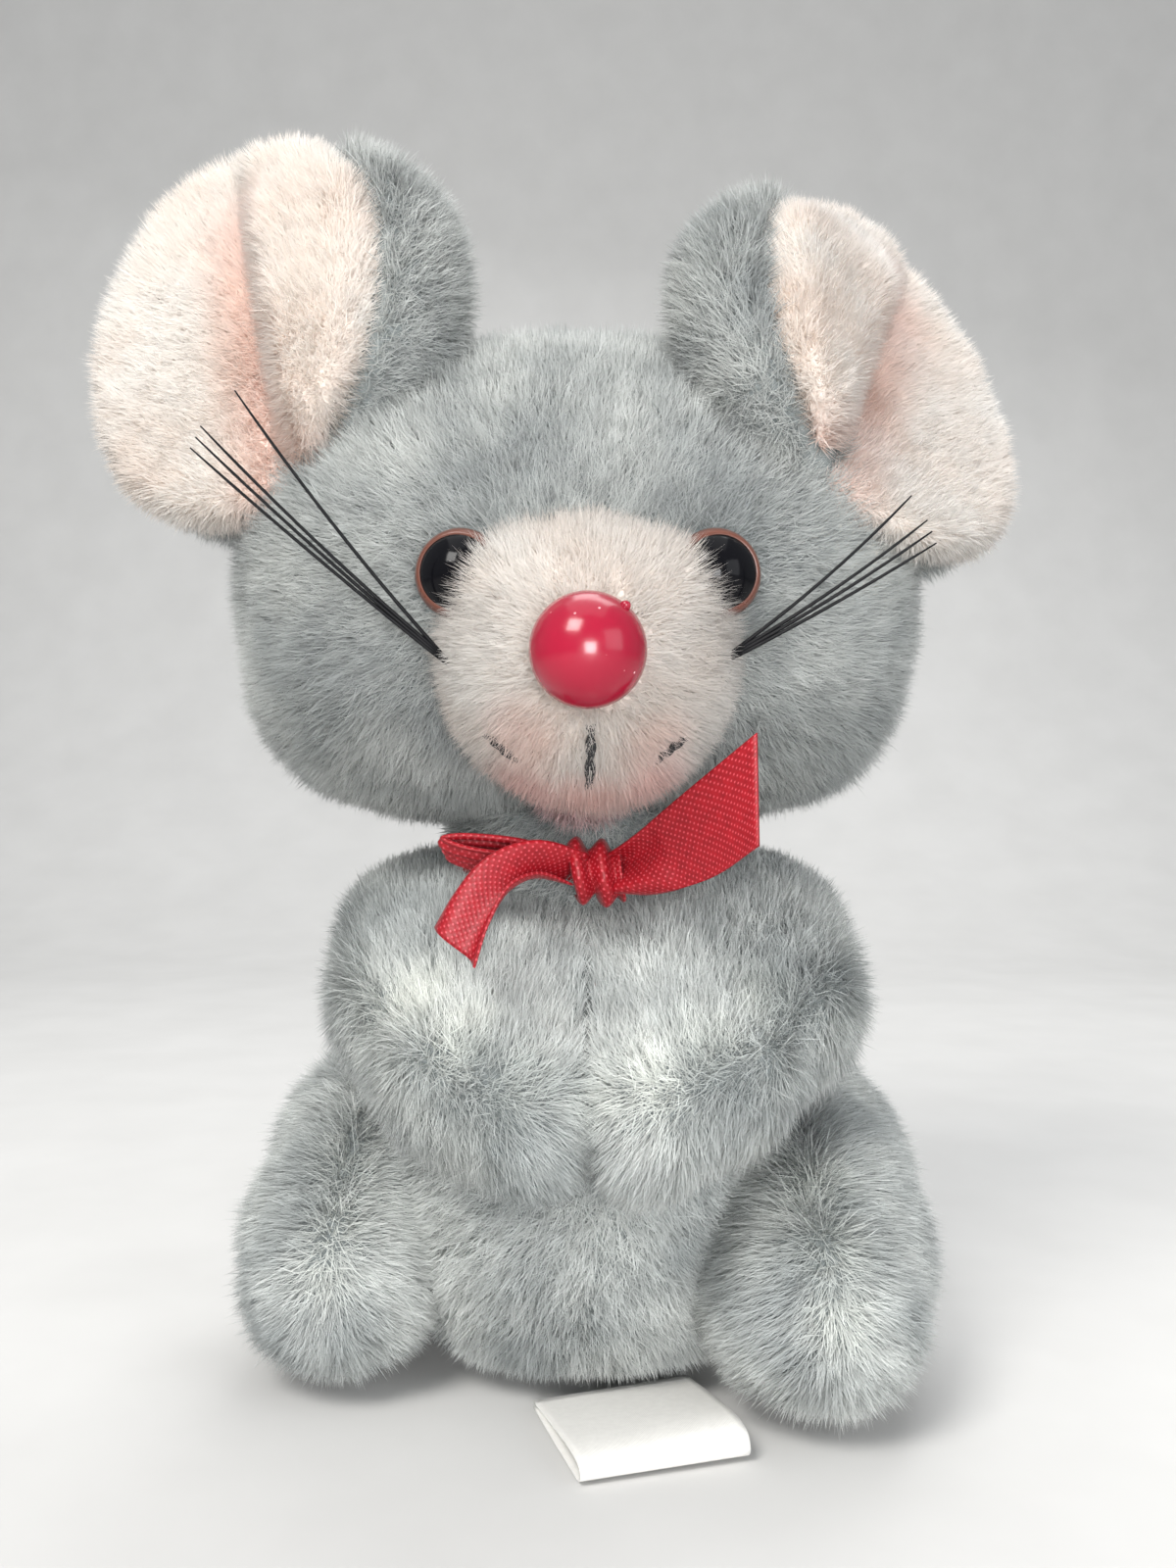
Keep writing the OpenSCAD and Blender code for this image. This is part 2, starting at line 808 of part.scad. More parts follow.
module chin_patch() {
    color(pink_plush) difference() {
        translate([-1, -32, 93.8]) sphere(r = 9.5);
        head_solid(-0.1);
        translate([0, muzzle_y, muzzle_z]) sphere(r = muzzle_r + 0.1);
    }
}

// Cross-section of an ear, a dish with a fat rolled rim, turned about its middle
module ear_back(side) {
    r = ear_r;
    color(grey_plush) difference() {
        ear_frame(side) rotate_extrude() polygon([
            [0, -6], [r * 0.55, -5.6], [r * 0.82, -3.6], [r * 0.95, -0.4], [r, 2.8], [r * 0.98, 5.2],
            [r * 0.93, 6.4], [r * 0.87, 6], [r * 0.82, 3], [r * 0.6, 0.2], [0, -0.8]]);
        head_solid(-0.1);
    }
}

module ear_lining(side) {
    r = ear_r;
    color(cream_plush) difference() {
        ear_frame(side) rotate_extrude() polygon([
            [0, -0.5], [r * 0.595, 0.5], [r * 0.81, 3.3], [r * 0.86, 6.3], [r * 0.76, 8], [r * 0.5, 7.4],
            [0, 5.4]]);
        head_solid(-0.1);
    }
}

module ear_left_back() { ear_back(-1); }
module ear_left_lining() { ear_lining(-1); }
module ear_right_back() { ear_back(1); }
module ear_right_lining() { ear_lining(1); }

// A safety eye: a domed front on a shank
module eye(side) {
    dome_h = 4;
    dome_r = (pow(eye_r, 2) + pow(dome_h, 2)) / (2 * dome_h);
    color([0.5, 0.25, 0.16]) eye_frame(side) union() {
        intersection() {
            translate([0, dome_r - dome_h, 0]) sphere(r = dome_r);
            along_y(-dome_h - 1) cylinder(r = eye_r, h = dome_h + 1);
        }
        along_y(-0.5) cylinder(r = 2, h = 11);
    }
}

module eye_left() { eye(-1); }
module eye_right() { eye(1); }

module eye_washers() {
    color(case_white) for (side = [-1, 1]) eye_frame(side) difference() {
        along_y(skin_t + 2.2) cylinder(r = 5.6, h = 1.2);
        along_y(skin_t) cylinder(r = 2, h = 6);
    }
}

module nose() {
    color([0.86, 0.1, 0.22]) translate([0, 0, nose_z]) union() {
        translate([0, nose_y, 0]) sphere(r = nose_r);
        along_y(nose_y) cylinder(r = shank_r, h = nose_shank);
    }
}

module nose_washer() {
    color(case_white) translate([0, 0, nose_z]) difference() {
        along_y(nose_washer_y) cylinder(r = 7, h = 1.4);
        along_y(nose_washer_y - 5) cylinder(r = shank_r, h = 10);
    }
}

// Stiff bristles that fan out from one root, each given by its sideways and upward lean
whisker_len = 40;
whisker_root = [21.2, -48.6, 109.5];
whisker_step = 0.9;
left_fan = [[41, 9], [44, 10], [46, 12], [54, 13]];
right_fan = [[31, 9], [33, 10], [35, 11], [40, 12]];

module whiskers(side, fan, len) {
    color([0.05, 0.05, 0.06]) for (i = [0 : len(fan) - 1])
        translate([side * whisker_root[0], whisker_root[1], whisker_root[2] + whisker_step * i])
            rotate([0, side * (90 - fan[i][0]), 0]) rotate([fan[i][1], 0, 0])
                cylinder(r = whisker_r, h = len);
}

module whiskers_left() { whiskers(-1, left_fan, whisker_len); }
module whiskers_right() { whiskers(1, right_fan, whisker_len - 11); }

// Stitched mouth: one upright stroke under the nose and a short stroke to each side
module stitch(turn, from, sweep) {
    translate([0, muzzle_y, muzzle_z]) rotate([0, turn, 0]) rotate([0, -90, 0]) rotate([0, 0, from])
        rotate_extrude(angle = sweep) translate([muzzle_r + 0.75, 0]) circle(r = 0.6, $fn = 24);
}

module mouth_thread() {
    color([0.08, 0.08, 0.08]) union() {
        stitch(0, 208, 20);
        stitch(-42, 212, 10);
        stitch(42, 212, 10);
    }
}

body_skin();
body_stuffing();
arm_left();
arm_right();
leg_left();
leg_right();
tail();
ribbon_collar();
ribbon_bow();
sewn_label();
case_front();
case_rear();
case_screws();
front_plate();
rear_plate();
plate_pillars();
plate_screws();
comb();
comb_bar();
comb_screws();
click_screw();
click_spring();
neck_bracket();
neck_pin();
key_grommet();
winding_key();
spring_arbor();
ratchet_wheel();
click();
spring_barrel();
barrel_cap();
mainspring();
music_drum();
drum_arbor();
drum_wheel();
crank_disc();
crank_pin();
second_arbor();
second_wheel();
governor_arbor();
governor_fly();
rocker_lever();
head_plate();
head_skin();
head_stuffing();
muzzle();
chin_patch();
ear_left_back();
ear_left_lining();
ear_right_back();
ear_right_lining();
eye_left();
eye_right();
eye_washers();
nose();
nose_washer();
whiskers_left();
whiskers_right();
mouth_thread();
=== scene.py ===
"""The looks of a sitting plush mouse with a wind-up musical movement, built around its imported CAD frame."""

import itertools
import json
import math
from functools import partial

import bpy
import numpy as np
from mathutils import Matrix, Vector


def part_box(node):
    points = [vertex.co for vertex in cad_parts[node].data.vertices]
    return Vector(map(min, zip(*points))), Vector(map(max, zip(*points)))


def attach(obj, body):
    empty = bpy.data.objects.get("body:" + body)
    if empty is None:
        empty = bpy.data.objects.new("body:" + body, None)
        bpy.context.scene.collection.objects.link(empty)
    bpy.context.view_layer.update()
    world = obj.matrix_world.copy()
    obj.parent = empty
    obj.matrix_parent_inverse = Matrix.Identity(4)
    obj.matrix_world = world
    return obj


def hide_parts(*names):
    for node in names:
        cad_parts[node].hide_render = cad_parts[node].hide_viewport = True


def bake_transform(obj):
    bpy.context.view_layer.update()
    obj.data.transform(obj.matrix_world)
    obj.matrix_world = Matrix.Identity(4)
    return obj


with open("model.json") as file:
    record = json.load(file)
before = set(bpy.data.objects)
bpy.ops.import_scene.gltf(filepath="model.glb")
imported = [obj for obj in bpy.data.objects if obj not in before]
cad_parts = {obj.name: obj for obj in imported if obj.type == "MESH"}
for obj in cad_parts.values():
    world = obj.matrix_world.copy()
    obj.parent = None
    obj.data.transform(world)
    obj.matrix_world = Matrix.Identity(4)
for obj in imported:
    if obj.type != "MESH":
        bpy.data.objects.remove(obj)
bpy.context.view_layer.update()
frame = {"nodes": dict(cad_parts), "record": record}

MM = 0.001
NODES = frame["nodes"]

# ---- places, in millimetres, read from the frame


def box_mm(node):
    """Lowest and highest corner of a CAD node, in millimetres."""
    low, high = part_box(node)
    return np.array(low) / MM, np.array(high) / MM


HEAD_LOW, HEAD_HIGH = box_mm("head_skin")
BODY_LOW, BODY_HIGH = box_mm("body_skin")
NOSE_LOW, NOSE_HIGH = box_mm("nose")
COLLAR_LOW, COLLAR_HIGH = box_mm("ribbon_collar")
LABEL_LOW, LABEL_HIGH = box_mm("sewn_label")

PILE = 4.6  # height of the plush pile above its cloth backing
FUR_SHARE = 1.0  # share of the pile's blades that are grown
HEAD_R = (HEAD_HIGH[0] - HEAD_LOW[0]) / 2
HEAD_H = 41.5
HEAD_AT = np.array([0.0, (HEAD_LOW[1] + HEAD_HIGH[1]) / 2, HEAD_HIGH[2] - HEAD_H])
HEAD_POWER = 2.4
HEAD_SHIFT = -1.8
BODY_R = (BODY_HIGH[0] - BODY_LOW[0]) / 2
BODY_MID = 30.0
BODY_UP, BODY_DOWN = 55.0, 36.8
BODY_POWER = 2.6
MUZZLE_R = 22.0
MUZZLE_AT = np.array([0.0, -38.0, 109.0])
PUFF_X, PUFF_YZ = 10.0, (-48.0, 117.6)
MUZZLE_PILE, CHIN_PILE = 3.2, 3.0
CHIN_R = 9.5
CHIN_AT = np.array([-1.0, -32.0, 93.8])
NOSE_R = (NOSE_HIGH[0] - NOSE_LOW[0]) / 2
NOSE_AT = np.array([0.0, NOSE_LOW[1] + NOSE_R, 108.5])
EYE_R, PUPIL_R = 6.2, 5.0
EYE_TURN = 10.5
EYE_X, EYE_Z = 17.4, 120.5
NECK_R, NECK_Z = 20.5, 80.0
PAW_PRESS = 2.6  # the paws press flat against each other at this distance from the middle
EAR_R = 36.0
# crease is where the ear folds: its distance towards the head, and how that changes with height
EARS = {
    "left": {"at": (-48.3, -12.0, 161.8), "turn": -26.0, "tilt": 12.0, "side": -1, "crease": (0.9, -0.22)},
    "right": {"at": (39.6, -12.0, 154.6), "turn": 38.0, "tilt": 27.0, "side": 1, "crease": (0.2, -0.42)},
}


# ---- small vector helpers


def unit(v):
    """Rows of v at length one."""
    return v / np.maximum(np.linalg.norm(v, axis=-1, keepdims=True), 1e-9)


def dot(a, b):
    return np.sum(a * b, axis=-1, keepdims=True)


def value_noise(points, seed):
    """Smooth random values from -1 to 1, at points measured in cells."""
    cell = np.floor(points).astype(np.int64)
    t = points - cell
    t = t * t * (3 - 2 * t)
    total = np.zeros(len(points))
    for corner in itertools.product((0, 1), repeat=3):
        at = cell + np.array(corner)
        h = (at[:, 0] * 73856093) ^ (at[:, 1] * 19349663) ^ (at[:, 2] * 83492791) ^ (seed * 40503 + 977)
        h = ((h ^ (h >> 13)) * 1274126177) & 0x7FFFFFFF
        h = ((h ^ (h >> 15)) * 2246822519) & 0x7FFFFFFF
        weight = np.prod(np.where(np.array(corner) == 1, t, 1 - t), axis=1)
        total += weight * ((h >> 8 & 0xFFFF) / 32767.5 - 1)
    return total


def noise_vector(points, cell, seed):
    return np.stack([value_noise(points / cell, seed + i) for i in range(3)], axis=1)


def smooth_step(x, low, high):
    t = np.clip((x - low) / (high - low), 0, 1)
    return t * t * (3 - 2 * t)


# ---- solids: functions that are negative inside


def smooth_union(a, b, k):
    h = np.clip(0.5 + 0.5 * (b - a) / k, 0, 1)
    return b + (a - b) * h - k * h * (1 - h)


def smooth_cut(a, b, k):
    return -smooth_union(-a, -b, k)


def ball(p, at, r):
    return np.linalg.norm(p - np.array(at), axis=1) - r


def limb(p, stops, k=4.0):
    """A rounded limb through stops, each (x, y, z, radius)."""
    result = None
    for a, b in zip(stops[:-1], stops[1:], strict=True):
        start, end = np.array(a[:3]), np.array(b[:3])
        along = end - start
        t = np.clip((p - start) @ along / (along @ along), 0, 1)
        near = start + t[:, None] * along
        d = np.linalg.norm(p - near, axis=1) - (a[3] + (b[3] - a[3]) * t)
        result = d if result is None else smooth_union(result, d, k)
    return result


def head_form(p, inset=PILE):
    """The head: wide, with full cheeks that come down to the shoulders."""
    q = p - HEAD_AT - np.array([HEAD_SHIFT, 0.0, 0.0])
    x = np.abs(q[:, 0]) / (HEAD_R - inset)
    ring = np.hypot(q[:, 1], q[:, 2]) / (HEAD_H - inset)
    power = HEAD_POWER + 0.9 * smooth_step(-q[:, 2], 2, 28)
    return ((x**power + ring**power) ** (1 / power) - 1) * (HEAD_H - inset)


def torso_form(p, inset=PILE):
    up = p[:, 2] - BODY_MID
    tall = np.where(up > 0, BODY_UP, BODY_DOWN) - inset
    ring = np.hypot(p[:, 0], p[:, 1]) / (BODY_R - inset)
    d = ((ring**BODY_POWER + (np.abs(up) / tall) ** BODY_POWER) ** (1 / BODY_POWER) - 1) * (BODY_R - inset)
    return smooth_cut(d, 1.6 - p[:, 2], 3.0)


def mirrored(p, side):
    return p * np.array([side, 1, 1])


def under_pile(*stops):
    """Stops of a limb's cloth, from (x, y, z, radius) with the radius out to the tips of its pile."""
    return [(x, y, z, r - PILE) for x, y, z, r in stops]


ARM_STOPS = {
    -1: under_pile((25.5, -2, 66.5, 18), (25.5, -17, 58, 16), (18.5, -31, 50, 14), (9, -40, 44, 12.4)),
    1: under_pile((26.5, -2, 66.5, 18), (27.5, -17, 58, 16.5), (19, -31, 50, 14), (9, -40, 44, 12.4)),
}
BREAST_STOPS = under_pile((20, -14, 66, 15), (11, -26, 61, 14.5), (8.5, -36, 51, 12))
LEG_STOPS = {
    -1: under_pile((32, 3, 27, 24), (36.5, -12, 20.5, 19), (37.8, -21, 16.8, 16.6)),
    1: under_pile((32, 3, 27, 24), (33.5, -18, 21, 20), (32.8, -34, 17.4, 17.6)),
}


def arm_form(p, side):
    """One arm, which meets the other in the middle of the breast and presses its paw against the other's."""
    q = mirrored(p, side)
    arm = smooth_cut(limb(q, ARM_STOPS[side], 6.0), PAW_PRESS - q[:, 0], 3.0)
    breast = smooth_union(limb(q, BREAST_STOPS, 4.0), limb(mirrored(q, -1), BREAST_STOPS, 4.0), 12.0)
    return smooth_cut(smooth_union(arm, breast, 8.0), 0.3 - q[:, 0], 0.5)


def leg_form(p, side):
    return limb(mirrored(p, side), LEG_STOPS[side], 6.0)


def muzzle_form(p):
    """A ball with a puff towards each eye."""
    puffs = limb(p, [(-PUFF_X, *PUFF_YZ, 4.2), (PUFF_X, *PUFF_YZ, 4.2)])
    return smooth_union(ball(p, MUZZLE_AT, MUZZLE_R - MUZZLE_PILE), puffs, 4.0)


def chin_form(p):
    return ball(p, CHIN_AT, CHIN_R - CHIN_PILE)


def neck_form(p):
    """A soft tube between the body and the head, under the ribbon."""
    round_it = np.hypot(p[:, 0], p[:, 1] + 3) - NECK_R
    return smooth_cut(round_it, np.abs(p[:, 2] - NECK_Z - 1) - 9.0, 4.0)


TAIL_BEND = 22.0
TAIL_R = 3.6
TAIL_TIP, TAIL_ROOT = 62, 180  # the tail's ends on its bend, in degrees
TAIL_AT = np.array([TAIL_BEND, BODY_R - 5, TAIL_R + 0.3])


def tail_form(p):
    q = p - TAIL_AT
    angle = np.degrees(np.arctan2(q[:, 1], q[:, 0]))
    angle = np.clip(angle, TAIL_TIP, TAIL_ROOT)
    spine = np.stack([np.cos(np.radians(angle)), np.sin(np.radians(angle)), 0 * angle], axis=1) * TAIL_BEND
    thick = TAIL_R - 1.0 - 1.2 * (1 - (angle - TAIL_TIP) / (TAIL_ROOT - TAIL_TIP))
    return np.linalg.norm(q - spine, axis=1) - thick


def ear_place(ear):
    """Matrix from an ear's own axes, across, up and out of its face, to the row frame."""
    tilt = Matrix.Rotation(math.radians(-ear["tilt"]), 4, "X")
    turn = Matrix.Rotation(math.radians(ear["turn"]), 4, "Z")
    return Matrix.Translation(ear["at"]) @ tilt @ turn @ Matrix.Rotation(math.radians(90), 4, "X")


def past_crease(q, ear):
    """Distance of each point past the ear's crease, towards the head."""
    start, slant = ear["crease"]
    return -ear["side"] * q[:, 0] - (start + slant * q[:, 1])


def ear_fold(q, ear):
    """Height of the folded ear's face: a shallow dish, a sharp crease, and a fat lobe on the head's side."""
    past = past_crease(q, ear)
    lobe = 8.0 * smooth_step(past, -0.5, 7.0) * (1 - 0.85 * smooth_step(np.abs(q[:, 1] + 2), 12, 30))
    rolled_off = 4.0 * smooth_step(-ear["side"] * q[:, 0], 17, 27)
    dish = 0.11 * np.maximum(-past, 0) + 0.0022 * q[:, 1] ** 2
    return lobe - rolled_off + dish - 1.2 * np.exp(-((past / 1.6) ** 2))


def local_points(p, place):
    inverse = np.array(place.inverted())
    return p @ inverse[:3, :3].T + inverse[:3, 3]


def ear_back_form(p, ear):
    """The grey back, with a fat roll that wraps forward on the head's side."""
    q = local_points(p, ear_place(ear))
    rim = np.hypot(q[:, 0], q[:, 1]) - (EAR_R - PILE - 0.6)
    sheet = np.abs(q[:, 2] - (0.35 * ear_fold(q, ear) - 2.6)) - 2.6
    d = smooth_cut(sheet, rim, 4.0)
    reach = EAR_R - PILE - 6.6
    stops = []
    for angle in np.radians(np.linspace(-62, 72, 10)):
        swell = 1 - 0.35 * smooth_step(abs(angle), 0.6, 1.3)
        stops.append((-ear["side"] * reach * math.cos(angle), reach * math.sin(angle), 2.6, 6.4 * swell))
    return smooth_union(d, limb(q, stops, 1.5), 3.0)


def ear_lining_form(p, ear):
    q = local_points(p, ear_place(ear))
    rim = np.hypot((q[:, 0] - ear["side"] * 3.6) / 0.9, q[:, 1]) - (EAR_R - PILE - 1.0)
    sheet = np.abs(q[:, 2] - (ear_fold(q, ear) + 1.8)) - 2.4
    return smooth_cut(sheet, rim, 3.0)


# ---- meshes


def surface_net(form, low, high, step):
    """Vertices and quads of the surface where form is zero, on a grid of that step."""
    axes = [np.arange(a - step, b + 2 * step, step) for a, b in zip(low, high, strict=True)]
    grid = np.stack(np.meshgrid(*axes, indexing="ij"), axis=-1)
    shape = grid.shape[:3]
    value = form(grid.reshape(-1, 3)).reshape(shape)
    cells = tuple(n - 1 for n in shape)
    total, count = np.zeros((*cells, 3)), np.zeros(cells)
    crossings = []
    for axis in range(3):
        first = [slice(None)] * 3
        second = [slice(None)] * 3
        first[axis], second[axis] = slice(0, -1), slice(1, None)
        a, b = value[tuple(first)], value[tuple(second)]
        crossed = (a < 0) != (b < 0)
        t = np.where(crossed, a / np.where(crossed, a - b, 1), 0)
        point = grid[tuple(first)] + t[..., None] * (grid[tuple(second)] - grid[tuple(first)])
        crossings.append((axis, crossed, a < 0))
        others = [i for i in range(3) if i != axis]
        for shift in itertools.product((0, 1), repeat=2):
            part = [slice(None)] * 3
            for i, s in zip(others, shift, strict=True):
                part[i] = slice(s, s + cells[i])
            part = tuple(part)
            total += np.where(crossed[part][..., None], point[part], 0)
            count += crossed[part]
    active = count > 0
    index = -np.ones(cells, int)
    index[active] = np.arange(active.sum())
    vertices = total[active] / count[active][:, None]
    quads = []
    for axis, crossed, inside in crossings:
        u, v = [i for i in range(3) if i != axis]
        at = np.argwhere(crossed)
        at = at[(at[:, u] > 0) & (at[:, v] > 0) & (at[:, u] < cells[u]) & (at[:, v] < cells[v])]
        corners = []
        for du, dv in ((-1, -1), (0, -1), (0, 0), (-1, 0)):
            c = at.copy()
            c[:, u] += du
            c[:, v] += dv
            corners.append(index[tuple(c.T)])
        quad = np.stack(corners, axis=1)
        flip = inside[tuple(at.T)] == (axis == 1)
        quad[flip] = quad[flip][:, ::-1]
        quads.append(quad)
    return vertices, np.concatenate(quads)


REACH = 0.2


def rises(form, points):
    """How much form rises along each axis, from REACH before to REACH past each point."""
    return np.stack([form(points + s) - form(points - s) for s in np.eye(3) * REACH], axis=1)


def slope(form, points):
    """Unit normals of form at points."""
    return unit(rises(form, points))


def relax(vertices, form, rounds=3):
    """Moves vertices onto the surface of form."""
    for _ in range(rounds):
        gradient = rises(form, vertices) / (2 * REACH)
        steepness = np.maximum(np.sum(gradient**2, axis=1), 0.05)
        vertices = vertices - gradient * (form(vertices) / steepness)[:, None]
    return vertices


def add_object(name, data):
    obj = bpy.data.objects.new(name, data)
    bpy.context.scene.collection.objects.link(obj)
    return obj


def add_mesh(name, vertices, faces, material):
    """A mesh object from vertices in millimetres."""
    mesh = bpy.data.meshes.new(name)
    mesh.from_pydata((np.asarray(vertices) * MM).tolist(), [], [list(map(int, f)) for f in faces])
    mesh.update()
    mesh.polygons.foreach_set("use_smooth", [True] * len(mesh.polygons))
    mesh.materials.append(material)
    return add_object(name, mesh)


def plush_form(name, form, low, high, step, material):
    """A closed cloth-backed form, and what fur needs to grow on it."""
    vertices, quads = surface_net(form, low, high, step)
    vertices = relax(vertices, form)
    obj = add_mesh(name, vertices, quads, material)
    triangles = np.concatenate([quads[:, [0, 1, 2]], quads[:, [0, 2, 3]]])
    return obj, {"form": form, "vertices": vertices, "triangles": triangles}


# ---- fur


def scatter(skin, per_mm2, rng):
    """Root points spread evenly over a skin."""
    a, b, c = (skin["vertices"][skin["triangles"][:, i]] for i in range(3))
    area = np.linalg.norm(np.cross(b - a, c - a), axis=1) / 2
    count = int(area.sum() * per_mm2 * FUR_SHARE)
    pick = np.searchsorted(np.cumsum(area) / area.sum(), rng.random(count))
    pick = np.minimum(pick, len(area) - 1)
    u, v = rng.random(count), rng.random(count)
    fold = u + v > 1
    u[fold], v[fold] = 1 - u[fold], 1 - v[fold]
    return a[pick] + u[:, None] * (b - a)[pick] + v[:, None] * (c - a)[pick]


CELLS_ACROSS, CELLS_UP = 256, 128  # every blade has its own cell, or shares one with a neighbour, in its map
UPRIGHT, LEANING, CLUMPED = 0.775, 0.85, 0.8  # what a blade's direction takes from skin, nap and tuft
ROOT_DEPTH = 0.25


def near_order(points):
    """Rank of each point along a winding line that keeps neighbours together."""
    grid = ((points - points.min(axis=0)) / (np.ptp(points, axis=0).max() + 1e-6) * 255).astype(np.int64)
    code = np.zeros(len(points), np.int64)
    for bit in range(8):
        for axis in range(3):
            code |= ((grid[:, axis] >> bit) & 1) << (3 * bit + axis)
    rank = np.empty(len(points), np.int64)
    rank[np.argsort(code, kind="stable")] = np.arange(len(points))
    return rank


def add_uv(mesh, name, u, v):
    layer = mesh.uv_layers.new(name=name)
    layer.data.foreach_set("uv", np.stack([u, v], axis=2).astype(np.float32).ravel())


def grow_fur(name, skin, material, *, per_mm2, length, lean, keep, seed, width=0.21, clump=0.3,
             clump_size=2.6, frizz=0.34, shorten=None, floor=None):
    """Pile as thin pointed blades rooted on a skin. lean gives the nap's direction and strength at a root,
    keep says which roots grow, and shorten scales their length. No blade goes below floor."""
    rng = np.random.default_rng(seed)
    root = scatter(skin, per_mm2, rng)
    root = root[keep(root)]
    normal = slope(skin["form"], root)
    count = len(root)
    nap = lean(root, normal)
    nap = nap - dot(nap, normal) * normal
    drift = noise_vector(root, 14.0, seed + 11) * 0.4
    tuft = noise_vector(root, clump_size, seed + 23) * clump
    tuft = tuft + noise_vector(root, 1.5, seed + 37) * clump * 0.5
    stray = rng.normal(size=(count, 3)) * frizz
    size = length * (0.86 + 0.14 * value_noise(root / 5.0, seed + 5) + rng.normal(size=count) * 0.10)
    if shorten is not None:
        size = size * shorten(root, normal)
    side = np.cross(nap + drift + stray, normal)
    twist = rng.uniform(-1.2, 1.2, size=(count, 1))
    rng.normal(size=(2, count, 3))  # unused, and drawn so that the draws after it stay the same

    line = unit(normal * UPRIGHT + (nap + drift) * LEANING + tuft * CLUMPED + stray)
    base = root - normal * ROOT_DEPTH
    tip = base + line * size[:, None]
    if floor is not None:
        base, tip = (np.column_stack([p[:, :2], np.maximum(p[:, 2], floor)]) for p in (base, tip))
    flat = unit(np.cross(line, normal) + 0.35 * side + 1e-4)
    edge = unit(flat * np.cos(twist) + np.cross(line, flat) * np.sin(twist))
    edge *= np.where(dot(np.cross(edge, line), normal) < 0, -1, 1)
    half = edge * (width / 2 * rng.uniform(0.7, 1.25, size=(count, 1)))
    vertices = np.stack([base - half, base + half, tip], axis=1).reshape(-1, 3)
    across = unit(normal - dot(normal, line) * line)
    glint = rng.normal(size=(count, 3)) * 0.14
    normals = np.repeat(unit(0.3 * across + 0.7 * normal + glint), 3, axis=0)

    mesh = bpy.data.meshes.new(name)
    mesh.vertices.add(3 * count)
    mesh.vertices.foreach_set("co", (vertices * MM).astype(np.float32).ravel())
    mesh.loops.add(3 * count)
    mesh.loops.foreach_set("vertex_index", np.arange(3 * count, dtype=np.int32))
    mesh.polygons.add(count)
    mesh.polygons.foreach_set("loop_start", np.arange(0, 3 * count, 3, dtype=np.int32))
    mesh.polygons.foreach_set("use_smooth", np.ones(count, bool))
    heights = np.array([0.0, 0.0, 1.0])
    add_uv(mesh, "pile", np.tile(rng.random(size=(count, 1)), (1, 3)), np.tile(heights, (count, 1)))
    cell = (near_order(root) * CELLS_ACROSS * CELLS_UP // count)[:, None]
    map_x = (cell % CELLS_ACROSS + 0.5 + np.array([[-0.2, 0.2, 0.0]])) / CELLS_ACROSS
    map_y = (cell // CELLS_ACROSS + 0.1 + 0.8 * heights) / CELLS_UP
    add_uv(mesh, "OFBake", map_x, map_y)
    mesh.update(calc_edges=True)
    mesh.normals_split_custom_set_from_vertices(normals.astype(np.float32))
    mesh.materials.append(material)
    return add_object(name, mesh)


# ---- materials


class Nodes:
    """Short names for building a material's node tree."""

    def __init__(self, name):
        self.material = bpy.data.materials.new(name)
        self.material.use_nodes = True
        self.tree = self.material.node_tree
        self.shader = self.tree.nodes["Principled BSDF"]

    def add(self, kind, inputs=None, **settings):
        node = self.tree.nodes.new(kind)
        for key, value in settings.items():
            setattr(node, key, value)
        for key, value in (inputs or {}).items():
            self.put(node.inputs[key], value)
        return node

    def put(self, socket, value):
        if isinstance(value, bpy.types.NodeSocket):
            self.tree.links.new(value, socket)
        elif isinstance(value, bpy.types.Node):
            self.tree.links.new(value.outputs[0], socket)
        else:
            socket.default_value = value

    def set(self, **values):
        for key, value in values.items():
            self.put(self.shader.inputs[key.replace("_", " ")], value)

    def place(self, scale=(1.0, 1.0, 1.0)):
        """Object coordinates, in metres times scale."""
        coordinates = self.add("ShaderNodeTexCoord")
        inputs = {"Vector": coordinates.outputs["Object"], "Scale": scale}
        return self.add("ShaderNodeMapping", inputs).outputs["Vector"]

    def noise(self, vector, scale, detail=2.0, roughness=0.5):
        inputs = {"Vector": vector, "Scale": scale, "Detail": detail, "Roughness": roughness}
        return self.add("ShaderNodeTexNoise", inputs).outputs["Fac"]

    def ramp(self, factor, stops):
        node = self.add("ShaderNodeValToRGB", {"Fac": factor})
        elements = node.color_ramp.elements
        while len(elements) < len(stops):
            elements.new(0.5)
        for element, (at, colour) in zip(elements, stops, strict=True):
            element.position = at
            element.color = (*colour, 1.0)
        return node.outputs["Color"]

    def math(self, kind, *values):
        return self.add("ShaderNodeMath", dict(enumerate(values)), operation=kind).outputs[0]

    def mix(self, factor, a, b, kind="MIX"):
        node = self.add("ShaderNodeMix", data_type="RGBA", blend_type=kind)
        self.put(node.inputs["Factor"], factor)
        self.put(node.inputs["A"], (*a, 1.0) if isinstance(a, tuple) else a)
        self.put(node.inputs["B"], (*b, 1.0) if isinstance(b, tuple) else b)
        return node.outputs["Result"]

    def near(self, vector, places, near, far):
        """1 within near millimetres of any of the places, and 0 beyond far."""
        least = None
        for at in places:
            ends = {0: vector, 1: tuple(np.array(at) * MM)}
            d = self.add("ShaderNodeVectorMath", ends, operation="DISTANCE").outputs["Value"]
            least = d if least is None else self.math("MINIMUM", least, d)
        inputs = {"Value": least, "From Min": near * MM, "From Max": far * MM, "To Min": 1.0, "To Max": 0.0}
        return self.add("ShaderNodeMapRange", inputs, interpolation_type="SMOOTHSTEP").outputs["Result"]

    def bump(self, height, strength, distance=0.0003):
        inputs = {"Height": height, "Strength": strength, "Distance": distance}
        self.put(self.shader.inputs["Normal"], self.add("ShaderNodeBump", inputs).outputs["Normal"])
        return self


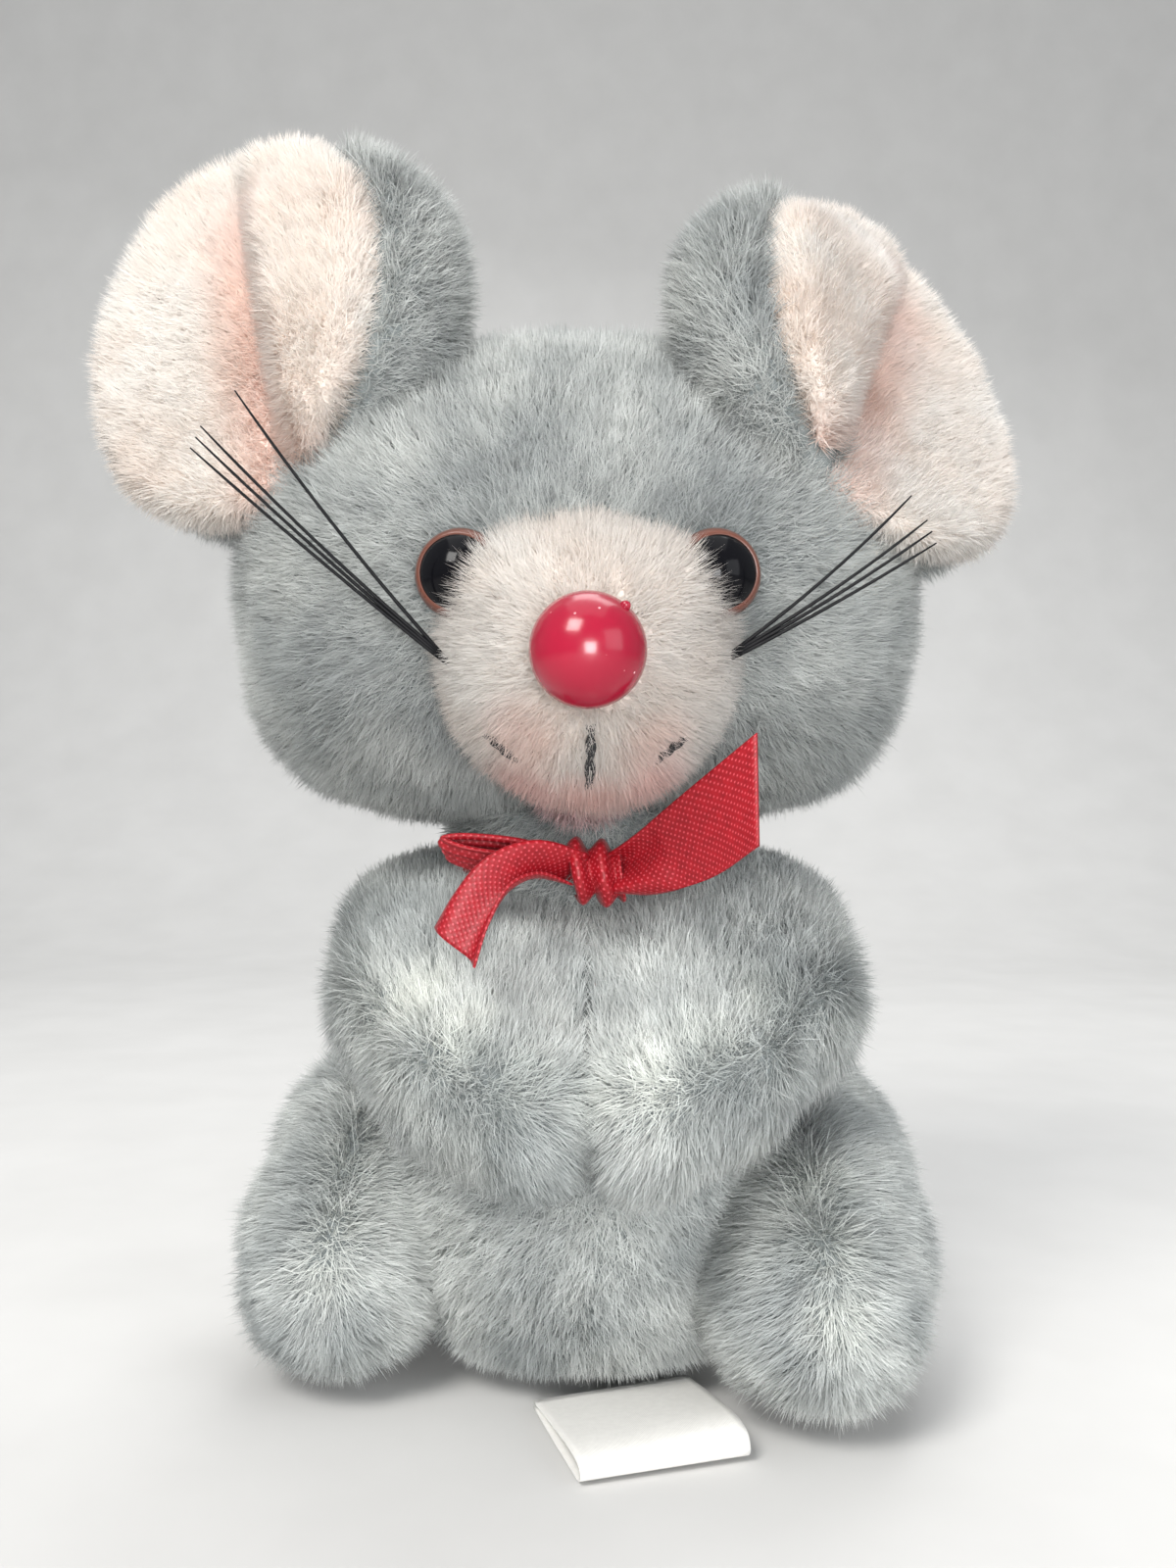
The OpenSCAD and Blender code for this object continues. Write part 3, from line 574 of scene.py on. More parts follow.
def scaled(colour, k):
    return tuple(min(c * k, 1.0) for c in colour)


def fur_material(name, root, middle, tip, nap_light_patches, grain=1.0, through=0.42, tints=()):
    """Pile with painted shade at its root and a painted highlight at its tip, a different shade for each
    blade, and patches of painted light and shade where the nap would catch or lose the light.
    grain scales how much the strands differ, and through is the share of light that passes through them.
    Each tint is (places, near, far, colour), in millimetres. It multiplies the pile near those places."""
    n = Nodes(name)
    uv = n.add("ShaderNodeUVMap", uv_map="pile")
    split = n.add("ShaderNodeSeparateXYZ", {"Vector": uv.outputs["UV"]})
    # painted shade at each blade's root and a painted highlight at its tip
    along = n.ramp(split.outputs["Y"], [(0.0, root), (0.45, middle), (1.0, tip)])
    place = n.place()
    # painted light and shade from the nap: broad patches and fine tufts are darker or paler where the nap
    # would lose or catch the light
    broad = n.noise(place, 60.0, 3.0)
    fine = n.noise(place, 340.0, 3.0)
    shade = n.ramp(broad, [(0.34, nap_light_patches[0]), (0.62, nap_light_patches[1])])
    own_stops = ((0.0, 1 - 0.18 * grain), (0.8, 1.0), (1.0, 1 + 0.18 * grain))
    own = n.ramp(split.outputs["X"], [(at, (k,) * 3) for at, k in own_stops])
    tuft = n.ramp(fine, [(0.3, (1 - 0.16 * grain,) * 3), (0.7, (1 + 0.1 * grain,) * 3)])
    colour = n.mix(1.0, along, shade, "MULTIPLY")
    colour = n.mix(1.0, colour, own, "MULTIPLY")
    colour = n.mix(1.0, colour, tuft, "MULTIPLY")
    for places, near, far, tint in tints:
        share = n.near(place, places, near, far)
        colour = n.mix(share, colour, n.mix(1.0, colour, tint, "MULTIPLY"))
    n.set(Base_Color=colour, Roughness=0.62, Sheen_Weight=0.3, Sheen_Roughness=0.4)
    n.shader.inputs["Specular IOR Level"].default_value = 0.28
    behind = n.add("ShaderNodeBsdfTranslucent", {"Color": colour})
    mixed = n.add("ShaderNodeMixShader", {"Fac": through, 1: n.shader, 2: behind})
    n.put(n.tree.nodes["Material Output"].inputs["Surface"], mixed)
    return n.material


def backing_material(name, colour):
    """The knitted cloth that the pile stands on."""
    n = Nodes(name)
    place = n.place()
    knit = n.add("ShaderNodeTexVoronoi", {"Vector": place, "Scale": 1400.0}).outputs["Distance"]
    broad = n.noise(place, 160.0, 3.0)
    tint = n.ramp(broad, [(0.3, scaled(colour, 0.8)), (0.7, scaled(colour, 1.1))])
    n.set(Base_Color=tint, Roughness=0.95)
    return n.bump(knit, 0.5).material


def plastic_material(name, colour, roughness, coat=0.0, flecks=0.0, shine=0.5):
    """Moulded plastic with a faint flow pattern and, where asked, pale flecks."""
    n = Nodes(name)
    place = n.place()
    flow = n.noise(place, 90.0, 3.0)
    tint = n.ramp(flow, [(0.3, scaled(colour, 0.93)), (0.7, scaled(colour, 1.06))])
    if flecks:
        cells = n.add("ShaderNodeTexVoronoi", {"Vector": place, "Scale": 620.0}).outputs["Distance"]
        spots = n.ramp(cells, [(flecks, (1.0,) * 3), (flecks + 0.05, (0.0,) * 3)])
        rare = n.ramp(n.noise(place, 300.0, 1.0), [(0.52, (0.0,) * 3), (0.6, (1.0,) * 3)])
        spots = n.mix(1.0, spots, rare, "MULTIPLY")
        tint = n.mix(spots, tint, (0.95, 0.55, 0.6))
    smears = n.noise(place, 500.0, 3.0)
    rough = n.ramp(smears, [(0.3, (roughness * 0.85,) * 3), (0.8, (roughness * 1.25,) * 3)])
    n.set(Base_Color=tint, Roughness=rough, Coat_Weight=coat, Coat_Roughness=0.05)
    n.shader.inputs["Specular IOR Level"].default_value = shine
    return n.bump(n.noise(place, 700.0, 2.0), 0.05).material


def metal_material(name, colour, roughness, lines):
    """Metal with fine drawn or brushed lines along one axis."""
    n = Nodes(name)
    brushed = n.noise(n.place(lines), 900.0, 3.0)
    stain = n.noise(n.place(), 120.0, 3.0)
    tint = n.ramp(stain, [(0.3, scaled(colour, 0.86)), (0.7, colour)])
    rough = n.ramp(brushed, [(0.3, (roughness * 0.7,) * 3), (0.7, (roughness * 1.3,) * 3)])
    n.set(Base_Color=tint, Roughness=rough, Metallic=1.0)
    return n.bump(brushed, 0.12, 0.00005).material


def woven_material(name, colour, painted_glint_colour, roughness, sheen, pitch_mm=1.0, uneven=0.2):
    """Ribbon or satin: a plain weave along its UVs, which are in millimetres, with a painted glint on its
    raised threads.
    """
    n = Nodes(name)
    uv = n.add("ShaderNodeUVMap", uv_map="cloth")
    split = n.add("ShaderNodeSeparateXYZ", {"Vector": uv.outputs["UV"]})
    pitch = 2 * math.pi / pitch_mm
    warp, weft = (n.math("SINE", n.math("MULTIPLY", split.outputs[axis], pitch)) for axis in "XY")
    raised = n.math("MULTIPLY_ADD", n.math("MULTIPLY", warp, weft), 0.5, 0.5)
    threads = n.noise(n.place(), 900.0, 2.0)
    body = n.ramp(threads, [(0.3, scaled(colour, 1 - uneven)), (0.7, scaled(colour, 1 + uneven / 2))])
    # painted highlight: the weave's raised points take the pale glint colour
    glint = n.ramp(raised, [(0.72, (0.0,) * 3), (0.97, (0.75,) * 3)])
    tint = n.mix(glint, body, painted_glint_colour)
    n.set(Base_Color=tint, Roughness=roughness, Sheen_Weight=sheen, Sheen_Roughness=0.35)
    n.shader.inputs["Specular IOR Level"].default_value = 0.3
    return n.bump(raised, 0.4, 0.0001).material


def fibre_material(name, colour):
    """Loose filling made of shredded cloth."""
    n = Nodes(name)
    place = n.place()
    wisps = n.noise(place, 260.0, 6.0, 0.7)
    tint = n.ramp(wisps, [(0.3, scaled(colour, 0.6)), (0.7, colour)])
    n.set(Base_Color=tint, Roughness=1.0, Sheen_Weight=0.3)
    return n.bump(wisps, 0.8, 0.001).material


# the root colours hold painted shade and the tip colours a painted highlight
GREY_ROOT_SHADED, GREY, GREY_TIP_LIT = (0.33, 0.343, 0.336), (0.455, 0.472, 0.464), (0.68, 0.696, 0.682)
CREAM_ROOT_SHADED, CREAM, CREAM_TIP_LIT = (0.86, 0.81, 0.765), (0.875, 0.84, 0.80), (0.89, 0.87, 0.84)
MUZZLE_PAINTED_SHADE = 0.88  # painted shade: the muzzle's cream is a darker copy of the ears' linings' cream
PINK_ROOT_SHADED, PINK, PINK_TIP_LIT = (0.66, 0.38, 0.38), (0.84, 0.58, 0.58), (0.90, 0.74, 0.74)

# painted light and shade: the dark and pale ends of the patches where the nap would lose or catch the light
GREY_NAP_LIGHT_PATCHES = ((0.68, 0.70, 0.71), (1.05, 1.05, 1.04))
CREAM_NAP_LIGHT_PATCHES = ((0.95, 0.90, 0.87), (1.0, 1.0, 1.0))
grey_fur = fur_material("grey_plush_pile", GREY_ROOT_SHADED, GREY, GREY_TIP_LIT, GREY_NAP_LIGHT_PATCHES)
# the seams of the arms and legs show as pale lines where the pile parts
ARM_SEAM = [(-24, -34, 62), (-17, -42, 57), (-9, -48, 53), (0, -50, 51)]
ARM_SEAM += [(9, -48, 53), (16, -42, 56), (25, -34, 61)]
LEG_SEAM = [(-39, -38, 22), (-38, -34, 30), (-37, -24, 38), (34, -50, 20), (34, -44, 30), (34, -34, 37)]
LIMB_PAINTED_LIGHT = 1.3  # painted light: the limbs and the torso wear a paler copy of the head's grey pile
LIMB_LIT_GREYS = [scaled(colour, LIMB_PAINTED_LIGHT) for colour in (GREY_ROOT_SHADED, GREY, GREY_TIP_LIT)]
SEAM_TINT = (ARM_SEAM + LEG_SEAM, 1.0, 9.0, (1.24, 1.23, 1.2))
limb_lit_fur = fur_material("limb_plush_pile_painted_light", *LIMB_LIT_GREYS, GREY_NAP_LIGHT_PATCHES, tints=[SEAM_TINT])
MUZZLE_BLUSH = [NOSE_AT + np.array([0, 8, 0]), (-10, -54, 97), (10, -52, 95)]
CHIN_BLUSH = [(0, -46, 86), (-9, -44, 88), (9, -44, 88)]
# the muzzle's cream pile, darkened as painted shade
MUZZLE_DARKENED_CREAMS = [scaled(colour, MUZZLE_PAINTED_SHADE) for colour in (CREAM_ROOT_SHADED, CREAM, CREAM_TIP_LIT)]
MUZZLE_TINTS = [(MUZZLE_BLUSH, 2.0, 9.0, (1.05, 0.93, 0.91)), (CHIN_BLUSH, 3.0, 11.0, (1.08, 0.84, 0.83))]
muzzle_fur_look = fur_material("muzzle_plush_pile", *MUZZLE_DARKENED_CREAMS, CREAM_NAP_LIGHT_PATCHES, grain=0.4, through=0.58,
                               tints=MUZZLE_TINTS)
pink_fur = fur_material("pink_plush_pile", PINK_ROOT_SHADED, PINK, PINK_TIP_LIT, ((0.9, 0.86, 0.86), (1.0, 1.0, 1.0)))
# the grey backing is painted much darker than its pile, as shade in the gaps between the blades
grey_backing_shaded = backing_material("grey_knit_backing_painted_shade", (0.17, 0.19, 0.19))
cream_backing = backing_material("cream_knit_backing", (0.84, 0.77, 0.72))
pink_backing = backing_material("pink_knit_backing", (0.66, 0.36, 0.36))
nose_plastic = plastic_material("nose_plastic", (0.25, 0.005, 0.022), 0.22, coat=0.1, flecks=0.075,
                                shine=0.35)
iris_plastic = plastic_material("iris_plastic", (0.10, 0.034, 0.022), 0.3, coat=0.1, shine=0.3)
pupil_plastic = plastic_material("pupil_plastic", (0.003, 0.003, 0.004), 0.12, shine=0.12)
white_plastic = plastic_material("white_plastic", (0.78, 0.77, 0.72), 0.45)
grommet_plastic = plastic_material("grommet_plastic", (0.09, 0.10, 0.105), 0.35)
nylon = plastic_material("black_nylon", (0.004, 0.004, 0.005), 0.5, shine=0.15)
steel = metal_material("brushed_steel", (0.60, 0.61, 0.63), 0.32, (1.0, 14.0, 1.0))
brass = metal_material("brass", (0.78, 0.56, 0.22), 0.28, (1.0, 10.0, 1.0))
key_metal = metal_material("key_nickel", (0.68, 0.67, 0.65), 0.2, (1.0, 1.0, 12.0))
# the second colour of each woven material is its painted glint
ribbon_red = woven_material("red_ribbon_weave", (0.23, 0.003, 0.008), (0.52, 0.07, 0.09), 0.45, 0.03)
label_satin = woven_material("white_satin", (0.70, 0.69, 0.66), (0.76, 0.75, 0.72), 0.4, 0.2, 0.4, 0.05)
yarn = backing_material("black_yarn", (0.012, 0.012, 0.013))
filling = fibre_material("shredded_filling", (0.70, 0.67, 0.60))


# ---- camera, lights and floor


CAMERA_LENS = 33.75
CAMERA_AWAY, CAMERA_UP = 245.0, 92.0
FLOOR_HALF, WALL_TOP, WALL_AT, FLOOR_BEND = 2400.0, 1500.0, 900.0, 420.0


def look_at(obj, at, target):
    obj.location = Vector(at) * MM
    obj.rotation_mode = "QUATERNION"
    obj.rotation_quaternion = (Vector(target) * MM - obj.location).to_track_quat("-Z", "Y")


def make_camera():
    camera = bpy.data.cameras.new("camera")
    camera.lens = CAMERA_LENS
    camera.clip_start = 0.01
    obj = add_object("camera", camera)
    look_at(obj, (0.0, -CAMERA_AWAY, CAMERA_UP), (0.0, 0.0, CAMERA_UP))
    bpy.context.scene.camera = obj


def add_light(name, at, target, size, watts, colour=(1.0, 1.0, 1.0)):
    light = bpy.data.lights.new(name, "AREA")
    light.size = size * MM
    light.energy = watts
    light.color = colour
    look_at(add_object(name, light), at, target)


def make_stage():
    """A pale floor that bends up into a wall, with soft studio light."""
    floor = Nodes("pale_floor")
    grain = floor.noise(floor.place(), 30.0, 3.0)
    tint = floor.ramp(grain, [(0.3, (0.52, 0.517, 0.507)), (0.7, (0.55, 0.547, 0.537))])
    floor.set(Base_Color=tint, Roughness=0.8)
    start = WALL_AT - FLOOR_BEND
    line = [(-FLOOR_HALF, 0.0), (start, 0.0)]
    for a in np.linspace(0.1, math.pi / 2, 12):
        line.append((start + FLOOR_BEND * math.sin(a), FLOOR_BEND - FLOOR_BEND * math.cos(a)))
    line.append((WALL_AT, WALL_TOP))
    vertices = [(x, y, z - 0.05) for y, z in line for x in (-FLOOR_HALF, FLOOR_HALF)]
    faces = [(2 * i, 2 * i + 1, 2 * i + 3, 2 * i + 2) for i in range(len(line) - 1)]
    add_mesh("floor", vertices, faces, floor.material)
    world = bpy.data.worlds.new("studio")
    bpy.context.scene.world = world
    world.use_nodes = True
    background = world.node_tree.nodes["Background"]
    background.inputs["Color"].default_value = (0.93, 0.96, 1.0, 1.0)
    background.inputs["Strength"].default_value = 0.46
    bpy.context.scene.view_settings.view_transform = "Standard"
    middle = (0, 0, 100)
    add_light("key_light", (-340, -570, 680), middle, 330, 7.4, (1.0, 0.98, 0.95))
    add_light("fill_light", (570, -500, 300), middle, 480, 1.8, (0.95, 0.97, 1.0))
    add_light("front_light", (50, -675, 105), (0, 0, 65), 225, 4.4)
    add_light("top_light", (0, -40, 620), middle, 500, 0.9)
    add_light("back_light", (120, 430, 780), middle, 600, 4.5)


make_camera()
make_stage()

# ---- plush: where the pile leans and where it grows


def head_lean(p, n):
    """Away from the nose over the face, and back and down behind."""
    away = unit(p - np.array([0.0, -60.0, 104.0]))
    back = np.array([0.0, 0.6, -0.35])
    face = smooth_step(-p[:, 1], -10, 25)[:, None]
    return 0.5 * (face * away + (1 - face) * back)


def torso_lean(p, n):
    out = np.sign(p[:, 0:1]) * np.array([[0.25, 0.0, 0.0]])
    return 0.5 * (np.array([0.0, 0.0, -1.0]) + out)


def outside(form, margin):
    return lambda p: form(p) > margin


def all_of(*tests):
    def test(p):
        result = np.ones(len(p), bool)
        for t in tests:
            result &= t(p)
        return result

    return test


def bulge_radius(x):
    """Half the head's height, which is also half its depth, at x."""
    return HEAD_H * (1 - (abs(x) / HEAD_R) ** HEAD_POWER) ** (1 / HEAD_POWER)


def eye_place(side):
    """Matrix from an eye's own axes to the row frame. The eye stands on the head and faces -Y."""
    ring = bulge_radius(EYE_X)
    y = HEAD_AT[1] - math.sqrt(ring**2 - (EYE_Z - HEAD_AT[2]) ** 2) - 0.3
    turn = Matrix.Rotation(math.radians(side * EYE_TURN), 4, "Z")
    return Matrix.Translation((side * EYE_X, y, EYE_Z)) @ turn


def off_eyes(margin):
    """No pile within margin of either eye's axis, on the front of the head."""
    places = [eye_place(s) for s in (-1, 1)]

    def test(p):
        ok = np.ones(len(p), bool)
        for place in places:
            q = local_points(p, place)
            ok &= (np.hypot(q[:, 0], q[:, 2]) > margin) | (q[:, 1] > 15)
        return ok

    return test


def near_floor(p, n):
    """Short pile where the toy rests."""
    return 0.25 + 0.75 * smooth_step(p[:, 2], 1.5, 9.0)


def by_cheek(p, n):
    """Short pile on the shoulder under the cheek."""
    return 1.0 - 0.4 * smooth_step(p[:, 2], 68, 80)


def by_shoulder(p, n):
    """Short pile on the cheek over the shoulder."""
    return 1.0 - 0.3 * smooth_step(-p[:, 2], -96, -86)


def under_paws(p, n):
    """Short pile near the floor, and in the crease between the belly and the paws or legs."""
    limbs = [form(p, side) for form in (arm_form, leg_form) for side in (-1, 1)]
    return near_floor(p, n) * (0.5 + 0.5 * smooth_step(np.min(limbs, axis=0), 0.0, 7.0))


def declare(obj, body, slot, *nodes):
    """The body that a piece rides on, its material slot, which is not used, and the CAD nodes that it stands
    for.
    """
    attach(obj, body)
    if nodes:
        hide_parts(*nodes)


def declare_plush(obj, fur, body, node, slot):
    declare(obj, body, slot, node)
    for piece in fur:
        declare(piece, body, slot)


def arm_lean(side):
    """Down the arm to the paw, parting from the seam along its front."""

    def lean(p, n):
        q = mirrored(p, side)
        seam_z = 51.0 + 0.012 * np.maximum(q[:, 0] - 4, 0) ** 2
        part = np.clip((q[:, 2] - seam_z) / 5.0, -1, 1)[:, None]
        d = np.array([[-0.35, -0.1, 0.0]]) + part * np.array([[0.25, 0.0, 0.9]])
        return 1.25 * d * np.array([side, 1, 1])

    return lean


def leg_lean(side):
    """Down the leg, parting to both sides of the seam along its front."""
    part_x = 38.0 if side < 0 else 33.0

    def lean(p, n):
        q = mirrored(p, side)
        part = np.clip((q[:, 0:1] - part_x) / 6.0, -1, 1)
        d = part * np.array([[0.9, 0.0, 0.0]]) + np.array([[0.0, -0.1, -0.5]])
        return 1.5 * d * np.array([side, 1, 1])

    return lean


STEP = 2.0  # grid step of the large plush forms
KEY_HOLE_R, KEY_Z = 7.5, 32  # no pile grows where the key's grommet stands
FACE_BACK = -8  # the head's pile is two pieces, which meet at this Y
EAR_REACH = 38

torso, torso_skin = plush_form("torso_plush", torso_form, (-36, -36, 0), (36, 36, 78), STEP, grey_backing_shaded)
limb_forms = [partial(form, side=side) for form in (arm_form, leg_form) for side in (-1, 1)]
torso_keep = all_of(
    *(outside(form, -2.0) for form in limb_forms),
    lambda p: p[:, 2] > 1.8,
    lambda p: ~((np.hypot(p[:, 0], p[:, 2] - KEY_Z) < KEY_HOLE_R) & (p[:, 1] > 0)),
)
torso_fur = grow_fur("torso_fur", torso_skin, limb_lit_fur, per_mm2=10.0, length=5.4, lean=torso_lean,
                     keep=torso_keep, shorten=under_paws, floor=0.2, seed=3)
declare_plush(torso, [torso_fur], "body", "body_skin", "grey_plush")

ARM_BOXES = {-1: ((-48, -52, 28), (0, 18, 80)), 1: ((0, -52, 28), (48, 18, 80))}
LEG_BOXES = {-1: ((-56, -46, 3), (-8, 28, 52)), 1: ((8, -50, 3), (56, 28, 52))}
for side, word in ((-1, "left"), (1, "right")):
    arm, arm_skin = plush_form(f"arm_{word}_plush", partial(arm_form, side=side), *ARM_BOXES[side], STEP,
                               grey_backing_shaded)
    arm_fur = grow_fur(
        f"arm_{word}_fur", arm_skin, limb_lit_fur, per_mm2=12.0, length=5.7, lean=arm_lean(side),
        keep=all_of(outside(torso_form, 0.0), lambda p, s=side: p[:, 0] * s > 0.9), shorten=by_cheek,
        seed=20 + side,
    )
    declare_plush(arm, [arm_fur], "body", f"arm_{word}", "grey_plush")
    leg, leg_skin = plush_form(f"leg_{word}_plush", partial(leg_form, side=side), *LEG_BOXES[side], STEP,
                               grey_backing_shaded)
    leg_fur = grow_fur(
        f"leg_{word}_fur", leg_skin, limb_lit_fur, per_mm2=12.0, length=5.7, lean=leg_lean(side),
        keep=outside(torso_form, 0.0), shorten=near_floor, floor=0.2, seed=30 + side,
    )
    declare_plush(leg, [leg_fur], "body", f"leg_{word}", "grey_plush")

tail, tail_skin = plush_form("tail_plush", tail_form, (-5, 30, 0), (40, 62, 10), 1.0, grey_backing_shaded)
tail_fur = grow_fur("tail_fur", tail_skin, grey_fur, per_mm2=8.0, length=2.2, lean=lambda p, n: 0 * p + 0.4,
                    keep=outside(torso_form, 0.0), floor=0.1, seed=41)
declare_plush(tail, [tail_fur], "body", "tail", "grey_plush")

neck, neck_skin = plush_form("neck_plush", neck_form, (-22, -25, 70), (22, 19, 92), STEP, grey_backing_shaded)
neck_fur = grow_fur("neck_fur", neck_skin, grey_fur, per_mm2=9.0, length=4.6, lean=torso_lean,
                    keep=lambda p: np.abs(p[:, 2] - NECK_Z) < 9, seed=45)
for piece in (neck, neck_fur):
    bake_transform(piece)

head, head_skin = plush_form("head_plush", head_form, (-54, -46, 84), (54, 36, 164), STEP, grey_backing_shaded)


def ears_clear(p):
    ok = np.ones(len(p), bool)
    for ear in EARS.values():
        ok &= ear_back_form(p, ear) > -1.0
    return ok


head_common = all_of(outside(muzzle_form, 0.4), off_eyes(EYE_R + 0.4), ears_clear)
front_fur = grow_fur("head_fur_front", head_skin, grey_fur, per_mm2=12.0, length=5.2, lean=head_lean,
                     keep=all_of(head_common, lambda p: p[:, 1] < FACE_BACK), shorten=by_shoulder, seed=51)
back_fur = grow_fur("head_fur_back", head_skin, grey_fur, per_mm2=9.0, length=5.4, lean=head_lean,
                    keep=all_of(head_common, lambda p: p[:, 1] >= FACE_BACK), shorten=by_shoulder, seed=52)
declare_plush(head, [front_fur, back_fur], "head", "head_skin", "grey_plush")

muzzle, muzzle_skin = plush_form("muzzle_plush", muzzle_form, (-21, -60, 88), (21, -18, 130), 1.6,
                                 cream_backing)
EYES_AT = [np.array(eye_place(s).translation) for s in (-1, 1)]


def by_eyes(p):
    """1 next to an eye, fading to 0 beyond about 15 mm."""
    d = np.minimum(*(np.linalg.norm(p - at, axis=1) for at in EYES_AT))
    return np.exp(-((d / 9.0) ** 2))


def muzzle_lean(p, n):
    away = unit(p - (NOSE_AT + np.array([0, -6.0, 1.0])))
    return 0.45 * away + by_eyes(p)[:, None] * np.array([0.0, -0.55, -0.1])


muzzle_fur = grow_fur(
    "muzzle_fur", muzzle_skin, muzzle_fur_look, per_mm2=16.0, length=4.3, clump=0.28, frizz=0.3, width=0.24,
    lean=muzzle_lean, shorten=lambda p, n: 1 + 0.55 * by_eyes(p),
    keep=all_of(outside(head_form, -0.5), lambda p: np.hypot(p[:, 0], p[:, 2] - NOSE_AT[2]) > 6.2), seed=61,
)
declare_plush(muzzle, [muzzle_fur], "head", "muzzle", "cream_plush")

chin, chin_skin = plush_form("chin_plush", chin_form, (-12, -42, 82), (10, -20, 104), 1.4, pink_backing)
chin_fur = grow_fur("chin_fur", chin_skin, pink_fur, per_mm2=9.0, length=4.5,
                    lean=lambda p, n: 0 * p + np.array([0.0, -0.2, -0.6]),
                    keep=all_of(outside(head_form, -1.0), outside(muzzle_form, 0.0)), seed=62)
declare_plush(chin, [chin_fur], "head", "chin_patch", "pink_plush")

for word, ear in EARS.items():
    x, y, z = ear["at"]
    start, slant = ear["crease"]
    valley = [(-ear["side"] * (start + slant * v), v, 4.0) for v in range(-30, 16, 5)]
    valley = [tuple(ear_place(ear) @ Vector(v)) for v in valley]
    lining_look = fur_material(f"ear_{word}_lining_pile", CREAM_ROOT_SHADED, CREAM, CREAM_TIP_LIT, CREAM_NAP_LIGHT_PATCHES,
                               grain=0.4, through=0.55, tints=[(valley, 2.0, 14.0, (1.0, 0.85, 0.81))])
    box = [tuple(v + reach for v in (x, y, z)) for reach in (-EAR_REACH, EAR_REACH)]
    ear_back, ear_lining = partial(ear_back_form, ear=ear), partial(ear_lining_form, ear=ear)
    back, back_skin = plush_form(f"ear_{word}_back_plush", ear_back, *box, 1.8, grey_backing_shaded)
    lining, lining_skin = plush_form(f"ear_{word}_lining_plush", ear_lining, *box, 1.8, cream_backing)
    centre = np.array(ear["at"])
    ear_fur = grow_fur(
        f"ear_{word}_back_fur", back_skin, grey_fur, per_mm2=11.0, length=5.0,
        lean=lambda p, n, c=centre: 0.4 * unit(p - c),
        keep=all_of(outside(ear_lining, 2.0), outside(head_form, -1.0)),
        seed=71 + ear["side"],
    )
    lining_fur = grow_fur(
        f"ear_{word}_lining_fur", lining_skin, lining_look, per_mm2=16.0, length=4.2,
        clump=0.22, clump_size=2.4, frizz=0.24, width=0.27,
        lean=lambda p, n, c=centre: 0.45 * unit(p - c),
        keep=all_of(outside(ear_back, -0.5), outside(head_form, -1.0)),
        seed=81 + ear["side"],
    )
    declare_plush(back, [ear_fur], "head", f"ear_{word}_back", "grey_plush")
    declare_plush(lining, [lining_fur], "head", f"ear_{word}_lining", "cream_plush")


# ---- hard pieces of the face


def lathe(profile, sides):
    """Vertices and faces of a profile of (radius, depth) turned about Y. It starts and ends on the axis."""
    vertices, faces = [(0, profile[0][1], 0)], []
    for r, y in profile[1:-1]:
        for i in range(sides):
            a = 2 * math.pi * i / sides
            vertices.append((r * math.cos(a), y, r * math.sin(a)))
    vertices.append((0, profile[-1][1], 0))
    last = len(vertices) - 1
    end = last - sides
    for i in range(sides):
        j = (i + 1) % sides
        faces.append((0, 1 + i, 1 + j))
        faces += [(a + i, a + sides + i, a + sides + j, a + j) for a in range(1, end, sides)]
        faces.append((end + j, end + i, last))
    return np.array(vertices, float), faces


def make_eye(side, word):
    """Brown safety eye with a domed black pupil."""
    profile = [(0.0, -4.4)]
    profile += [(r, -4.4 + 2.6 * (r / 5.3) ** 2) for r in np.linspace(0.6, 4.95, 8)]
    profile += [(5.05, -1.95), (5.12, -2.1), (5.6, -1.7), (5.95, -1.1), (EYE_R, -0.4), (6.05, 0.15)]
    profile += [(2.0, 0.2), (2.0, 10.4), (0.0, 10.5)]
    vertices, faces = lathe(profile, 64)
    place = eye_place(side)
    vertices = vertices @ np.array(place)[:3, :3].T + np.array(place.translation)
    obj = add_mesh(f"eye_{word}_piece", vertices, faces, iris_plastic)
    obj.data.materials.append(pupil_plastic)
    inverse = place.inverted()
    for polygon in obj.data.polygons:
        at = inverse @ (Vector(polygon.center) / MM)
        if math.hypot(at.x, at.z) < PUPIL_R and at.y < 0:
            polygon.material_index = 1
    declare(obj, "head", "eye_plastic", f"eye_{word}")


def make_nose():
    """Glossy ball with a thin parting flange and a small moulding nub."""
    profile = [(0.0, -NOSE_R)]
    profile += [(NOSE_R * math.sin(a), -NOSE_R * math.cos(a)) for a in np.linspace(0.08, 2.25, 30)]
    profile += [(6.1, 4.6), (6.0, 5.2), (2.5, 5.6), (2.5, 24.0), (0.0, 24.2)]
    vertices, faces = lathe(profile, 72)
    nose = add_mesh("nose_piece", vertices + NOSE_AT, faces, nose_plastic)
    nub_profile = [(0.0, -0.9), (0.35, -0.85), (0.6, -0.5), (0.7, 0.2), (0.0, 0.3)]
    nub_vertices, nub_faces = lathe(nub_profile, 16)
    spin = Matrix.Rotation(math.radians(40), 3, "Y") @ Matrix.Rotation(math.radians(-62), 3, "X")
    nub_vertices = nub_vertices @ np.array(Matrix.Rotation(math.radians(-90), 3, "X")).T
    place = np.array([0.62, -0.34, 0.70]) * NOSE_R
    nub = add_mesh("nose_nub", nub_vertices @ np.array(spin).T + NOSE_AT + place, nub_faces, nose_plastic)
    declare(nose, "head", "nose_plastic", "nose")
    declare(nub, "head", "nose_plastic")


